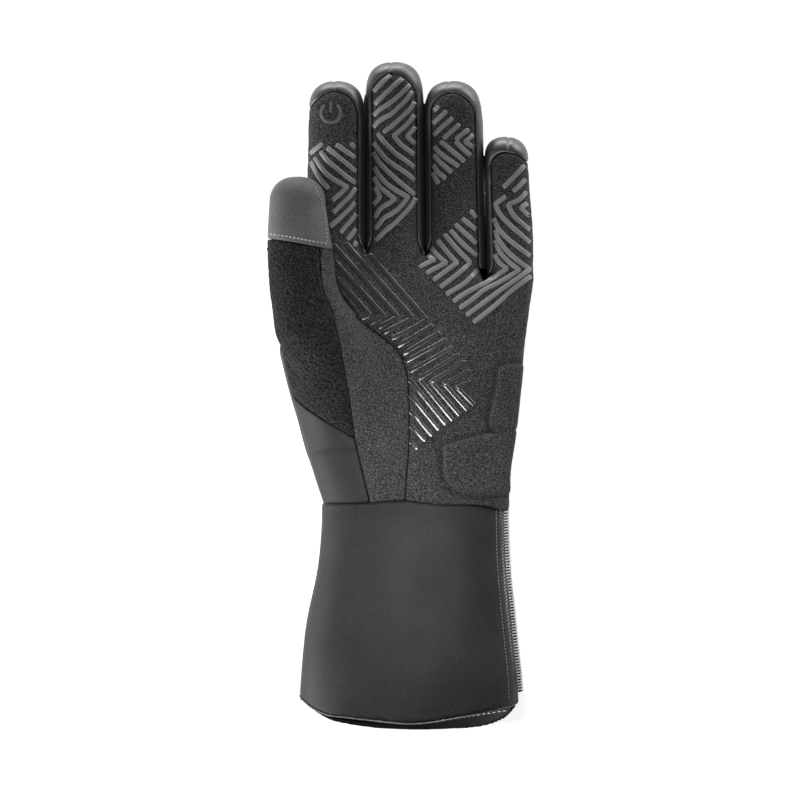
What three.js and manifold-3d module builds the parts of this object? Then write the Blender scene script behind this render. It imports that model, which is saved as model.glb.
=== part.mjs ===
// Left-hand heated glove with a gauntlet cuff, lying on its back with the palm up.
// Millimetres. +Y runs from the palm to the fingertips, +X to the little finger,
// +Z out of the palm. The origin is on the flat resting face under the palm.

import * as THREE from 'three';
import { LoftGeometry } from 'three/addons/geometries/LoftGeometry.js';
import { mergeVertices } from 'three/addons/utils/BufferGeometryUtils.js';
import Module from 'manifold-3d';

const wasm = await Module();
wasm.setup();

// Walls, seams and clearances
const HAND_WALL = 3.0;
const CUFF_WALL = 2.0;
const SEAM_GAP = 0.3;
const FINGER_GAP = 1.2;

// Hand, measured along Y from the origin in the middle of the palm
const ORIGIN_TO_WRIST = 51;
const ORIGIN_TO_KNUCKLE = 75;
const PALM_THICKNESS = 38;
const SHARE_LEFT_OF_ORIGIN = 0.467;
const HEEL_BACK_EDGE = - 0.36;
const SOLE_PRESS = 1.2;

// Fingers, lengths from the knuckle line
const INDEX_LENGTH = 85;
const INDEX_WIDTH = 29;
const MIDDLE_LENGTH = 94.5;
const MIDDLE_WIDTH = 28.6;
const RING_LENGTH = 85;
const RING_WIDTH = 29.4;
const LITTLE_LENGTH = 57;
const LITTLE_WIDTH = 22.9;
const FINGER_THICKNESS = 28;
const FINGER_THINNING = 0.16;
const FINGER_SQUARE = 2.3;
const FINGER_CURL = 5;
const WEB_DEPTH = 6;
const STRIP_TIP_SHARE = 0.34;

// Root of a finger inside the hand: its length, its narrowing and its shift away from the
// free side of an outermost finger, as shares of the width
const FINGER_ROOT = 26;
const ROOT_SHARE = 0.7;
const ROOT_KNEE = { along: 0.6, share: 0.925 };
const ROOT_INWARD = 0.2;

// Thumb
const THUMB_LENGTH = 70.5;
const THUMB_WIDTH = 32;
const THUMB_THICKNESS = 28.5;
const THUMB_LIFT = 38.7;
const THUMB_CROTCH = 0.73;
const THUMB_SQUARE = 2.2;

// Round end of the thumb as shares of its width: its radius, where its centre lies from
// the left side, and how much wider the thumb is just below it
const THUMB_TIP = { radius: 0.43, centre: 0.445, neck: 0.09, bulge: 0.012, depth: 0.48 };

// Raised pads under the palm fabric
const PAD_RISE = 1.6;

// Cuff
const CUFF_LENGTH = 110;
const CUFF_WRIST_THICKNESS = 41;
const CUFF_HEM_THICKNESS = 54;
const CUFF_SQUARE = 2.25;
const HEM_BOW = 12;
const HEM_BOW_POWER = 2.4;
const HEM_REACH = 1.25;
const HEM_STEPS = 20;
const BACK_HEM_DROP = 3.6;
const HEM_BINDING = 1.4;
const FACING_DEPTH = 13;
const FACING_WALL = 1.0;
const FACING_SETBACK = 1.2;

// Zip on the little-finger side of the cuff
const ZIP_TAPE_WIDTH = 7.5;
const ZIP_COIL_WIDTH = 3.2;
const ZIP_COIL_RISE = 1.7;
const ZIP_HEM_SETBACK = 15;
const SLIDER_LENGTH = 9;
const SLIDER_WIDTH = 4.4;
const SLIDER_RISE = 1.6;
const SLIDER_DROP = 9;

// Facets round each kind of section
const HAND_SIDES = 34;
const CUFF_SIDES = 34;
const FINGER_SIDES = 18;
const INNER_SIDES = 12;
const THUMB_SIDES = 20;

// Steps round a tip, in degrees from its start, and how slowly its thickness falls
const TIP_STEPS = [ 0, 22, 42, 58, 72, 84 ];
const INNER_TIP_STEPS = [ 0, 35, 62, 82 ];
const TIP_FULLNESS = 0.85;

// Colours and finishes
const FINISH = {
	palm: { color: 0x2d2d2e, roughness: 0.85 },
	softshell: { color: 0x3a3b3d, roughness: 0.6 },
	rim: { color: 0x1c1e24, roughness: 0.55 },
	boucle: { color: 0x242425, roughness: 0.97 },
	cap: { color: 0x5b5c5e, roughness: 0.6 },
	gusset: { color: 0x3e3f41, roughness: 0.9 },
	side: { color: 0x444547, roughness: 0.7 },
	tape: { color: 0x55565a, roughness: 0.8 },
	coil: { color: 0x8a8b8e, roughness: 0.4 },
	metal: { color: 0x2a2b2d, roughness: 0.35, metalness: 0.8 },
};

// Fingers in order. lean is the tip's shift and slim the tip's width, as shares of the
// width; drop is how far the crotch on the left lies below the knuckle line, as a share
// of the hand length; outer is the side that has no neighbour.
const FINGERS = [
	{ name: 'index', length: INDEX_LENGTH, width: INDEX_WIDTH, lean: 0.0, slim: 0.95, drop: 0, outer: - 1 },
	{ name: 'middle', length: MIDDLE_LENGTH, width: MIDDLE_WIDTH, lean: - 0.02, slim: 1.0, drop: 0, outer: 0 },
	{ name: 'ring', length: RING_LENGTH, width: RING_WIDTH, lean: - 0.05, slim: 0.95, drop: 0.008, outer: 0 },
	{ name: 'little', length: LITTLE_LENGTH, width: LITTLE_WIDTH, lean: - 0.08, slim: 0.97, drop: 0.111, outer: 1 },
];
const PALM_WIDTH = FINGERS.reduce( ( sum, f ) => sum + f.width, 0 ) + 3 * FINGER_GAP;
const HAND_LENGTH = ORIGIN_TO_WRIST + ORIGIN_TO_KNUCKLE;
const WRIST_Y = - ORIGIN_TO_WRIST;
const KNUCKLE_Y = ORIGIN_TO_KNUCKLE;
const HEM_Y = WRIST_Y - CUFF_LENGTH;
const FAR = 2 * ( HAND_LENGTH + CUFF_LENGTH + PALM_WIDTH );
const ZONE_FLOOR = - FAR / 8;
const ZONE_HEIGHT = FAR / 2;

// The fingers stand side by side across the palm
let nextLeft = - SHARE_LEFT_OF_ORIGIN * PALM_WIDTH;

for ( const finger of FINGERS ) {

	finger.left = nextLeft;
	finger.right = nextLeft + finger.width;
	finger.tip = KNUCKLE_Y + finger.length;
	nextLeft = finger.right + FINGER_GAP;

}

// Half sections of the hand: shares of the palm width, palm thickness and hand length.
// square is the exponent of the section's rounded outline.
const HAND_SECTIONS = [
	{ along: - 0.12, left: - 0.398, right: 0.424, high: 1.11, square: 2.3 },
	{ along: 0.0, left: - 0.398, right: 0.427, high: 1.09, square: 2.3 },
	{ along: 0.10, left: - 0.432, right: 0.428, high: 1.07, square: 2.35 },
	{ along: 0.24, left: - 0.479, right: 0.446, high: 1.05, square: 2.4 },
	{ along: 0.40, left: - 0.530, right: 0.469, high: 1.02, square: 2.5 },
	{ along: 0.53, left: - 0.567, right: 0.489, high: 0.99, square: 2.6 },
	{ along: 0.63, left: - 0.580, right: 0.499, high: 0.96, square: 2.7 },
	{ along: 0.74, left: - 0.540, right: 0.511, high: 0.89, square: 2.9 },
	{ along: 0.87, left: - 0.480, right: 0.522, high: 0.79, square: 3.3 },
	{ along: 1.0, left: - 0.463, right: 0.528, high: 0.64, square: 3.8 },
];

// Sections of the thumb: shares of the hand length from the wrist, then places as
// shares of the palm width, and heights as shares of the thumb's thickness about its lift
const THUMB_SECTIONS = [
	{ along: 0.24, left: - 0.400, right: - 0.120, low: - 1.12, high: - 0.10 },
	{ along: 0.42, left: - 0.470, right: - 0.130, low: - 1.00, high: 0.17 },
	{ along: 0.56, left: - 0.540, right: - 0.165, low: - 0.90, high: 0.36 },
	{ along: 0.64, left: - 0.592, right: - 0.200, low: - 0.78, high: 0.44 },
	{ along: 0.73, left: - 0.612, right: - 0.242, low: - 0.64, high: 0.48 },
	{ along: 0.84, left: - 0.626, right: - 0.325, low: - 0.54, high: 0.50 },
];

// Seams seen from the palm side: across is a share of the palm width from the origin,
// along a share of the hand length from the wrist seam
const GUSSET_SEAM = [
	{ across: - 0.033, along: - 0.2 },
	{ across: - 0.031, along: 0.008 },
	{ across: - 0.013, along: 0.246 },
	{ across: - 0.013, along: 0.405 },
	{ across: - 0.022, along: 0.504 },
	{ across: - 0.053, along: 0.583 },
	{ across: - 0.097, along: 0.631 },
	{ across: - 0.163, along: 0.675 },
	{ across: - 0.242, along: 0.730 },
	{ across: - 0.330, along: 0.800 },
	{ across: - 0.800, along: 0.830 },
];
const THUMB_ROOT = [
	{ across: 0.80, along: 0.80 },
	{ across: - 0.10, along: 0.78 },
	{ across: - 0.242, along: 0.735 },
	{ across: - 0.80, along: 0.56 },
];
const CAP_SEAM = [
	{ across: - 0.80, along: 1.068 },
	{ across: - 0.626, along: 1.060 },
	{ across: - 0.493, along: 1.028 },
	{ across: - 0.361, along: 1.004 },
	{ across: 0.80, along: 0.80 },
];
const GUSSET_EDGE = [
	{ across: - 0.396, along: 1.30 },
	{ across: - 0.372, along: 1.0 },
	{ across: - 0.348, along: 0.841 },
	{ across: - 0.330, along: 0.683 },
	{ across: - 0.304, along: 0.563 },
	{ across: - 0.273, along: 0.405 },
	{ across: - 0.251, along: 0.254 },
	{ across: - 0.229, along: 0.167 },
	{ across: - 0.185, along: 0.0 },
	{ across: - 0.150, along: - 0.2 },
];
const PANEL_FOOT = [
	{ across: - 0.80, along: 0.53 },
	{ across: - 0.542, along: 0.437 },
	{ across: - 0.493, along: 0.393 },
	{ across: - 0.405, along: 0.337 },
	{ across: - 0.251, along: 0.254 },
	{ across: - 0.04, along: 0.12 },
];
const WRIST_SEAM = [
	{ across: - 0.80, along: - 0.004 },
	{ across: - 0.185, along: 0.0 },
	{ across: - 0.053, along: 0.008 },
	{ across: 0.123, along: - 0.008 },
	{ across: 0.322, along: - 0.016 },
	{ across: 0.410, along: - 0.036 },
	{ across: 0.80, along: - 0.040 },
];

// Outlines of the pads under the fabric on the little-finger side of the palm
const UPPER_PAD = [
	{ across: 0.500, along: 0.667 },
	{ across: 0.405, along: 0.667 },
	{ across: 0.388, along: 0.667 },
	{ across: 0.375, along: 0.524 },
	{ across: 0.353, along: 0.310 },
	{ across: 0.500, along: 0.300 },
];
const LOWER_PAD = [
	{ across: 0.137, along: 0.220 },
	{ across: 0.155, along: 0.085 },
	{ across: 0.500, along: 0.080 },
	{ across: 0.500, along: 0.282 },
	{ across: 0.388, along: 0.278 },
	{ across: 0.300, along: 0.262 },
	{ across: 0.212, along: 0.240 },
];

// Sections of the cuff: shares of the cuff length below the wrist and of the palm width
const CUFF_SECTIONS = [
	{ along: - 0.10, left: - 0.390, right: 0.405 },
	{ along: 0.10, left: - 0.393, right: 0.408 },
	{ along: 0.21, left: - 0.406, right: 0.411 },
	{ along: 0.32, left: - 0.422, right: 0.417 },
	{ along: 0.48, left: - 0.445, right: 0.433 },
	{ along: 0.65, left: - 0.467, right: 0.449 },
	{ along: 0.81, left: - 0.489, right: 0.465 },
	{ along: 0.90, left: - 0.498, right: 0.470 },
	{ along: 1.12, left: - 0.498, right: 0.466 },
];

// Heights of the level seams: shares of the palm thickness, along the hand length
const BACK_LEVEL = [
	{ along: - 0.5, height: 0.42 },
	{ along: 0.8, height: 0.38 },
	{ along: 1.0, height: 0.20 },
	{ along: 1.8, height: 0.26 },
];
const PALM_LEVEL = [
	{ along: - 0.5, height: 0.56 },
	{ along: 0.9, height: 0.58 },
	{ along: 1.0, height: 0.60 },
	{ along: 1.4, height: 0.61 },
	{ along: 1.8, height: 0.66 },
];
const THUMB_LEVEL = [
	{ along: - 0.5, height: 0.50 },
	{ along: 0.4, height: 0.58 },
	{ along: 0.72, height: 0.76 },
	{ along: 0.84, height: 0.94 },
	{ along: 1.0, height: 1.0 },
	{ along: 1.4, height: 1.03 },
];

const MERGE_DISTANCE = 1e-4;
const ZONE_MARGIN = 0.3;

// A closed geometry as a solid that can be cut and joined
function solid( geometry ) {

	const plain = new THREE.BufferGeometry();
	plain.setAttribute( 'position', geometry.attributes.position );
	plain.setIndex( geometry.index );
	const merged = mergeVertices( plain, MERGE_DISTANCE );
	return new wasm.Manifold( new wasm.Mesh( {
		numProp: 3,
		vertProperties: new Float32Array( merged.attributes.position.array ),
		triVerts: new Uint32Array( merged.index.array ),
	} ) );

}

// A cut or joined solid as a geometry
function geometryOf( body ) {

	const { vertProperties, triVerts } = body.getMesh();
	const geometry = new THREE.BufferGeometry();
	geometry.setAttribute( 'position', new THREE.BufferAttribute( vertProperties, 3 ) );
	geometry.setIndex( new THREE.BufferAttribute( triVerts, 1 ) );
	geometry.computeVertexNormals();
	return geometry;

}

// One rounded section across the glove at a given y
function section( { y, left, right, low, high, square, sides } ) {

	const centre = ( left + right ) / 2;
	const middle = ( low + high ) / 2;
	const points = [];

	for ( let i = 0; i < sides; i ++ ) {

		const angle = ( i / sides ) * 2 * Math.PI;
		const cos = Math.cos( angle );
		const sin = Math.sin( angle );
		points.push( new THREE.Vector3(
			centre - ( ( right - left ) / 2 ) * Math.sign( cos ) * Math.abs( cos ) ** ( 2 / square ),
			y,
			middle + ( ( high - low ) / 2 ) * Math.sign( sin ) * Math.abs( sin ) ** ( 2 / square ),
		) );

	}

	return points;

}

function loft( sections ) {

	return solid( new LoftGeometry( sections, { capStart: true, capEnd: true } ) );

}

const alongY = ( along ) => WRIST_Y + along * HAND_LENGTH;
const planPoint = ( row ) => new THREE.Vector2( row.across * PALM_WIDTH, alongY( row.along ) );
const planPoints = ( table ) => table.map( planPoint );

// A line of points moved sideways, to the left of its direction when the shift is positive
function shifted( points, shift ) {

	return points.map( ( point, i ) => {

		const before = points[ Math.max( i - 1, 0 ) ];
		const after = points[ Math.min( i + 1, points.length - 1 ) ];
		const ahead = after.clone().sub( before ).normalize();
		return new THREE.Vector2( point.x - ahead.y * shift, point.y + ahead.x * shift );

	} );

}

// Everything inside a closed outline seen from above
function planZone( outline ) {

	const shape = new THREE.Shape( outline );
	const geometry = new THREE.ExtrudeGeometry( shape, { depth: ZONE_HEIGHT, bevelEnabled: false, steps: 1 } );
	geometry.translate( 0, 0, ZONE_FLOOR );
	return solid( geometry );

}

// Everything on one side of a seam seen from above: the gap moves the edge off the seam
const AWAY = {
	left: new THREE.Vector2( - 1, 0 ),
	right: new THREE.Vector2( 1, 0 ),
	up: new THREE.Vector2( 0, 1 ),
	down: new THREE.Vector2( 0, - 1 ),
};

function planSide( seam, gap, side ) {

	const away = AWAY[ side ];
	const points = planPoints( seam );
	const first = points[ 0 ];
	const last = points[ points.length - 1 ];
	const run = last.clone().sub( first );
	const leftward = - run.y * away.x + run.x * away.y > 0;
	const far = away.clone().multiplyScalar( FAR );
	const edge = shifted( points, leftward ? gap : - gap );
	return planZone( [ ...edge, last.clone().add( far ), first.clone().add( far ) ] );

}

// Everything over or under a line of points in the plane of y and z
function levelZone( points, over ) {

	const limit = over ? ZONE_HEIGHT : ZONE_FLOOR;
	const first = points[ 0 ];
	const last = points[ points.length - 1 ];
	const shape = new THREE.Shape( [
		new THREE.Vector2( - FAR, first.y ),
		...points,
		new THREE.Vector2( FAR, last.y ),
		new THREE.Vector2( FAR, limit ),
		new THREE.Vector2( - FAR, limit ),
	] );
	const geometry = new THREE.ExtrudeGeometry( shape, { depth: 2 * FAR, bevelEnabled: false, steps: 1 } );
	geometry.translate( 0, 0, - FAR );
	geometry.applyMatrix4( new THREE.Matrix4().makeBasis(
		new THREE.Vector3( 0, 1, 0 ),
		new THREE.Vector3( 0, 0, 1 ),
		new THREE.Vector3( 1, 0, 0 ),
	) );
	return solid( geometry );

}

const levelPoints = ( level, shift ) => level.map( ( row ) =>
	new THREE.Vector2( alongY( row.along ), row.height * PALM_THICKNESS + shift ) );
const above = ( level, gap ) => levelZone( levelPoints( level, gap / 2 ), true );
const below = ( level, gap ) => levelZone( levelPoints( level, - gap / 2 ), false );

// Body of the hand from the wrist to the knuckles, made smaller by the inset
function handBody( inset, sides ) {

	const sections = HAND_SECTIONS.map( ( row ) => section( {
		y: alongY( row.along ),
		left: row.left * PALM_WIDTH + inset,
		right: row.right * PALM_WIDTH - inset,
		low: - SOLE_PRESS + ( inset > 0 ? SOLE_PRESS : 0 ) + inset,
		high: row.high * PALM_THICKNESS - inset,
		square: row.square,
		sides,
	} ) );
	const web = Math.max( inset, 0 );
	const crotches = FINGERS.slice( 1 ).map( ( finger ) => new THREE.Vector2(
		finger.left - FINGER_GAP / 2,
		KNUCKLE_Y - finger.drop * HAND_LENGTH - web,
	) );
	const last = crotches[ crotches.length - 1 ];
	const zone = planZone( [
		new THREE.Vector2( - FAR, crotches[ 0 ].y ),
		...crotches,
		new THREE.Vector2( FAR, last.y ),
		new THREE.Vector2( FAR, - FAR ),
		new THREE.Vector2( - FAR, - FAR ),
	] );
	return loft( sections ).intersect( zone );

}

// A finger: straight sides, then a round tip, curling gently towards the palm
function fingerBody( finger, inset, sides ) {

	const crotch = KNUCKLE_Y - finger.drop * HAND_LENGTH;
	const start = crotch - FINGER_ROOT - inset;
	const tip = finger.tip - inset;
	const half = ( finger.width / 2 ) * finger.slim - inset;
	const straightEnd = tip - half;
	const middleY = THREE.MathUtils.lerp( crotch, straightEnd, 0.5 );
	const rows = [
		{ y: start, share: ROOT_SHARE },
		{ y: THREE.MathUtils.lerp( start, crotch, ROOT_KNEE.along ), share: ROOT_KNEE.share },
		{ y: crotch, share: 1 },
		{ y: middleY, share: 1 },
	];

	for ( const degrees of inset > 0 ? INNER_TIP_STEPS : TIP_STEPS ) {

		const angle = THREE.MathUtils.degToRad( degrees );
		rows.push( { y: straightEnd + half * Math.sin( angle ), share: Math.cos( angle ) } );

	}

	return loft( rows.map( ( { y, share } ) => {

		const t = THREE.MathUtils.clamp( ( y - KNUCKLE_Y ) / finger.length, 0, 1 );
		const root = THREE.MathUtils.clamp( ( crotch - y ) / FINGER_ROOT, 0, 1 );
		const sway = finger.lean * t - finger.outer * ROOT_INWARD * root;
		const centre = ( finger.left + finger.right ) / 2 + sway * finger.width;
		const halfWidth = ( ( finger.width / 2 ) * THREE.MathUtils.lerp( 1, finger.slim, t ) - inset ) * share;
		const lift = FINGER_CURL * t * t;
		const thickness = FINGER_THICKNESS * ( 1 - FINGER_THINNING * t );
		const middle = lift + thickness / 2 - SOLE_PRESS * ( 1 - t );
		const halfHeight = Math.max( thickness / 2 - inset, 0 ) * share ** TIP_FULLNESS;
		return section( {
			y,
			left: centre - halfWidth,
			right: centre + halfWidth,
			low: middle - halfHeight,
			high: middle + halfHeight,
			square: FINGER_SQUARE,
			sides,
		} );

	} ) );

}

function thumbBody( inset, sides ) {

	const tip = alongY( THUMB_CROTCH ) + THUMB_LENGTH - inset;
	const height = ( share ) => THUMB_LIFT + share * THUMB_THICKNESS;
	const rows = THUMB_SECTIONS.map( ( row ) => ( {
		y: alongY( row.along ),
		left: row.left * PALM_WIDTH + inset,
		right: row.right * PALM_WIDTH - inset,
		low: height( row.low ) + inset,
		high: height( row.high ) - inset,
	} ) );
	const last = rows[ rows.length - 1 ];
	const capHalf = THUMB_WIDTH * THUMB_TIP.radius - inset;
	const capCentre = last.left - inset + THUMB_WIDTH * THUMB_TIP.centre;
	const capStart = tip - capHalf;
	rows.push( {
		y: KNUCKLE_Y,
		left: last.left - THUMB_TIP.bulge * PALM_WIDTH,
		right: capCentre + capHalf + THUMB_TIP.neck * THUMB_WIDTH,
		low: height( - 0.5 ) + inset,
		high: height( 0.5 ) - inset,
	} );

	for ( const degrees of inset > 0 ? INNER_TIP_STEPS : TIP_STEPS ) {

		const angle = THREE.MathUtils.degToRad( degrees );
		const share = Math.cos( angle );
		const halfHeight = ( THUMB_THICKNESS * THUMB_TIP.depth - inset ) * share ** TIP_FULLNESS;
		rows.push( {
			y: capStart + capHalf * Math.sin( angle ),
			left: capCentre - capHalf * share,
			right: capCentre + capHalf * share,
			low: THUMB_LIFT - halfHeight,
			high: THUMB_LIFT + halfHeight,
		} );

	}

	return loft( rows.map( ( row ) => section( { ...row, square: THUMB_SQUARE, sides } ) ) );

}

// Tube of the cuff from inside the hand to below its hem, made smaller by the inset
function cuffBody( inset, sides ) {

	return loft( [ ...CUFF_SECTIONS ].reverse().map( ( row ) => {

		const high = THREE.MathUtils.lerp( CUFF_WRIST_THICKNESS, CUFF_HEM_THICKNESS, row.along );
		return section( {
			y: WRIST_Y - row.along * CUFF_LENGTH,
			left: row.left * PALM_WIDTH + inset,
			right: row.right * PALM_WIDTH - inset,
			low: inset > 0 ? inset : - SOLE_PRESS,
			high: high - inset,
			square: CUFF_SQUARE,
			sides,
		} );

	} ) );

}

// Everything over or under the mid line of the cuff, shifted up or down
function cuffLevel( shift, over ) {

	const middle = ( y, thickness ) => new THREE.Vector2( y, thickness / 2 + shift );
	const points = [ middle( HEM_Y, CUFF_HEM_THICKNESS ), middle( WRIST_Y, CUFF_WRIST_THICKNESS ) ];
	return levelZone( points, over );

}

// Everything above a bowed hem whose lowest point is at y
function hemZone( y ) {

	const points = [];

	for ( let share = - HEM_REACH; share <= HEM_REACH; share += 2 * HEM_REACH / HEM_STEPS ) {

		const bow = HEM_BOW * Math.abs( share ) ** HEM_BOW_POWER;
		points.push( new THREE.Vector2( share * PALM_WIDTH / 2, y + bow ) );

	}

	return planZone( [ ...points, new THREE.Vector2( FAR, FAR ), new THREE.Vector2( - FAR, FAR ) ] );

}

const box = ( left, bottom, right, top ) => planZone( [
	new THREE.Vector2( left, bottom ),
	new THREE.Vector2( right, bottom ),
	new THREE.Vector2( right, top ),
	new THREE.Vector2( left, top ),
] );
const join = ( solids ) => solids.reduce( ( sum, next ) => sum.add( next ) );
const common = ( ...solids ) => solids.reduce( ( sum, next ) => sum.intersect( next ) );

// The two sides of the wrist seam and the surface that the glove rests on
const GAP = SEAM_GAP;
const floor = above( [ { along: 0, height: 0 } ], 0 );
const handSide = planSide( WRIST_SEAM, GAP / 2, 'up' );
const cuffSide = planSide( WRIST_SEAM, GAP / 2, 'down' );

// Shell of the hand, the fingers and the thumb
const outer = join( [
	handBody( 0, HAND_SIDES ),
	...FINGERS.map( ( finger ) => fingerBody( finger, 0, FINGER_SIDES ) ),
	thumbBody( 0, THUMB_SIDES ),
] );
const inner = join( [
	handBody( HAND_WALL, HAND_SIDES ),
	...FINGERS.map( ( finger ) => fingerBody( finger, HAND_WALL, INNER_SIDES ) ),
	thumbBody( HAND_WALL, INNER_SIDES ),
] );
const shell = common( outer.subtract( inner ), floor, handSide );

// The thumb above its root, and the palm between the gusset seam and the hand's edge.
// A gap makes both larger, so that what surrounds them stays clear.
const thumbZone = ( gap ) => common(
	thumbBody( - gap - ZONE_MARGIN, THUMB_SIDES ),
	planSide( THUMB_ROOT, - gap - ZONE_MARGIN, 'up' ),
);
const heelZone = ( gap ) => common(
	planSide( GUSSET_SEAM, - gap, 'left' ),
	planSide( THUMB_ROOT, - gap, 'down' ),
);

// The sides and tip of a finger, which its strip covers: an outermost finger has none
// on its free side
function stripZone( finger, gap ) {

	const order = FINGERS.indexOf( finger );
	const before = FINGERS[ Math.max( order - 1, 0 ) ];
	const after = FINGERS[ Math.min( order + 1, FINGERS.length - 1 ) ];
	const shift = ( a, b ) => ( a.lean * a.width + b.lean * b.width ) / 2;
	const reach = FINGER_GAP / 2 - SEAM_GAP / 2 + gap;
	const bottom = KNUCKLE_Y - finger.drop * HAND_LENGTH - WEB_DEPTH - gap;
	const top = finger.tip + finger.width;
	const centre = ( finger.left + finger.right ) / 2;
	const tipStart = finger.tip - finger.width * STRIP_TIP_SHARE - gap;
	const whole = planZone( [
		new THREE.Vector2( finger.left - reach, bottom ),
		new THREE.Vector2( finger.right + reach, bottom ),
		new THREE.Vector2( finger.right + reach, KNUCKLE_Y ),
		new THREE.Vector2( finger.right + reach + shift( finger, after ), top ),
		new THREE.Vector2( finger.left - reach + shift( before, finger ), top ),
		new THREE.Vector2( finger.left - reach, KNUCKLE_Y ),
	] );

	if ( finger.outer === 0 ) return whole;
	const free = finger.outer < 0
		? box( finger.left - finger.width, bottom - gap, centre - gap, tipStart )
		: box( centre + gap, bottom - gap, finger.right + finger.width, tipStart );
	return whole.subtract( free );

}

const pieces = {};
const strips = FINGERS.map( ( finger ) => stripZone( finger, GAP ) );
const stripsBelow = common( join( strips ), below( PALM_LEVEL, - GAP ) );
const thumbClear = thumbZone( GAP );
const heelClear = heelZone( GAP );

// Palm panel with its two raised pads
const pads = common(
	handBody( - PAD_RISE, HAND_SIDES ).subtract( handBody( HAND_WALL / 2, HAND_SIDES ) ),
	join( [ planZone( planPoints( UPPER_PAD ) ), planZone( planPoints( LOWER_PAD ) ) ] ),
	above( PALM_LEVEL, GAP ),
);
pieces.palm_panel = {
	body: common( shell, above( BACK_LEVEL, GAP ) )
		.subtract( thumbClear ).subtract( heelClear ).subtract( stripsBelow ).add( pads ),
	finish: FINISH.palm,
};
pieces.back_panel = {
	body: common( shell, join( [
		below( BACK_LEVEL, GAP ),
		common( heelZone( 0 ), below( THUMB_LEVEL, GAP ), box( - FAR, - FAR, HEEL_BACK_EDGE * PALM_WIDTH, FAR ) ),
	] ) ).subtract( thumbClear ),
	finish: FINISH.softshell,
};

for ( const finger of FINGERS ) {

	pieces[ `${ finger.name }_strip` ] = {
		body: common( shell, stripZone( finger, 0 ), above( BACK_LEVEL, GAP ), below( PALM_LEVEL, GAP ) ),
		finish: FINISH.rim,
	};

}

// Thumb and the heel of the hand below it
const overThumb = common(
	shell,
	join( [ thumbZone( 0 ), heelZone( 0 ) ] ),
	above( THUMB_LEVEL, GAP ),
	planSide( CAP_SEAM, GAP / 2, 'down' ),
);
const besideGusset = planSide( GUSSET_EDGE, GAP / 2, 'left' );
pieces.thumb_cap = {
	body: common( shell, thumbZone( 0 ), planSide( CAP_SEAM, GAP / 2, 'up' ) ),
	finish: FINISH.cap,
};
pieces.thumb_panel = {
	body: common( overThumb, besideGusset, planSide( PANEL_FOOT, GAP / 2, 'up' ) ),
	finish: FINISH.boucle,
};
pieces.side_panel = {
	body: common( overThumb, besideGusset, planSide( PANEL_FOOT, GAP / 2, 'down' ) ),
	finish: FINISH.side,
};
pieces.thumb_gusset = {
	body: common( overThumb, planSide( GUSSET_EDGE, GAP / 2, 'right' ) ),
	finish: FINISH.gusset,
};
pieces.thumb_back = {
	body: common( shell, thumbZone( 0 ), below( THUMB_LEVEL, GAP ), planSide( CAP_SEAM, GAP / 2, 'down' ) ),
	finish: FINISH.softshell,
};

// Cuff halves with the zip between them on the little-finger side
const cuffOuter = cuffBody( 0, CUFF_SIDES );
const cuffInner = cuffBody( CUFF_WALL, CUFF_SIDES );
const cuff = common( cuffOuter.subtract( cuffInner ), floor, cuffSide );
const zipSide = box( 0, - FAR, FAR, FAR );
const coilHalf = ZIP_COIL_WIDTH / 2;
const tapeEdge = coilHalf + ZIP_TAPE_WIDTH;
const frontHemY = HEM_Y;
const backHemY = HEM_Y - BACK_HEM_DROP;
const front = common( cuff, cuffLevel( GAP / 2, true ) )
	.subtract( common( zipSide, cuffLevel( tapeEdge + GAP / 2, false ) ) );

pieces.cuff_front = {
	body: common( front, hemZone( frontHemY + HEM_BINDING + GAP ) ),
	finish: FINISH.softshell,
};
pieces.front_hem_binding = {
	body: common( front, hemZone( frontHemY ) ).subtract( hemZone( frontHemY + HEM_BINDING ) ),
	finish: FINISH.side,
};
pieces.cuff_back = {
	body: common( cuff, cuffLevel( - GAP / 2, false ), hemZone( backHemY ) )
		.subtract( common( zipSide, cuffLevel( - tapeEdge - GAP / 2, true ) ) ),
	finish: FINISH.softshell,
};
pieces.hem_facing = {
	body: common(
		cuffBody( CUFF_WALL + GAP, CUFF_SIDES ).subtract( cuffBody( CUFF_WALL + GAP + FACING_WALL, CUFF_SIDES ) ),
		cuffLevel( - tapeEdge - GAP, false ),
		hemZone( backHemY + FACING_SETBACK ),
	).subtract( hemZone( backHemY + FACING_DEPTH ) ),
	finish: FINISH.side,
};

// A band of the zip between two heights over or under the mid line
const zipBand = ( body, low, high ) => common(
	body,
	zipSide,
	cuffLevel( low + GAP / 2, true ),
	cuffLevel( high - GAP / 2, false ),
);
pieces.zip_tape_front = {
	body: common( zipBand( cuff, coilHalf, tapeEdge ), hemZone( frontHemY ) ),
	finish: FINISH.tape,
};
pieces.zip_tape_back = {
	body: common( zipBand( cuff, - tapeEdge, - coilHalf ), hemZone( frontHemY ) ),
	finish: FINISH.tape,
};
pieces.zip_coil = {
	body: common(
		zipBand( cuffBody( - ZIP_COIL_RISE, CUFF_SIDES ).subtract( cuffInner ), - coilHalf, coilHalf ),
		cuffSide,
		box( 0, frontHemY + ZIP_HEM_SETBACK, FAR, FAR ),
	),
	finish: FINISH.coil,
};

// Zip slider, plain, behind the coil at its wrist end
const sliderPlace = {
	x: CUFF_SECTIONS[ 2 ].right * PALM_WIDTH + GAP,
	y: WRIST_Y - SLIDER_DROP,
	z: CUFF_WRIST_THICKNESS / 2 - coilHalf - SLIDER_WIDTH / 2 - GAP,
};
const slider = new THREE.BoxGeometry( SLIDER_RISE, SLIDER_LENGTH, SLIDER_WIDTH );
slider.translate( SLIDER_RISE / 2, - SLIDER_LENGTH / 2, 0 );
pieces.zip_slider = { geometry: slider, at: sliderPlace, finish: FINISH.metal };

const glove = new THREE.Group();

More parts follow.
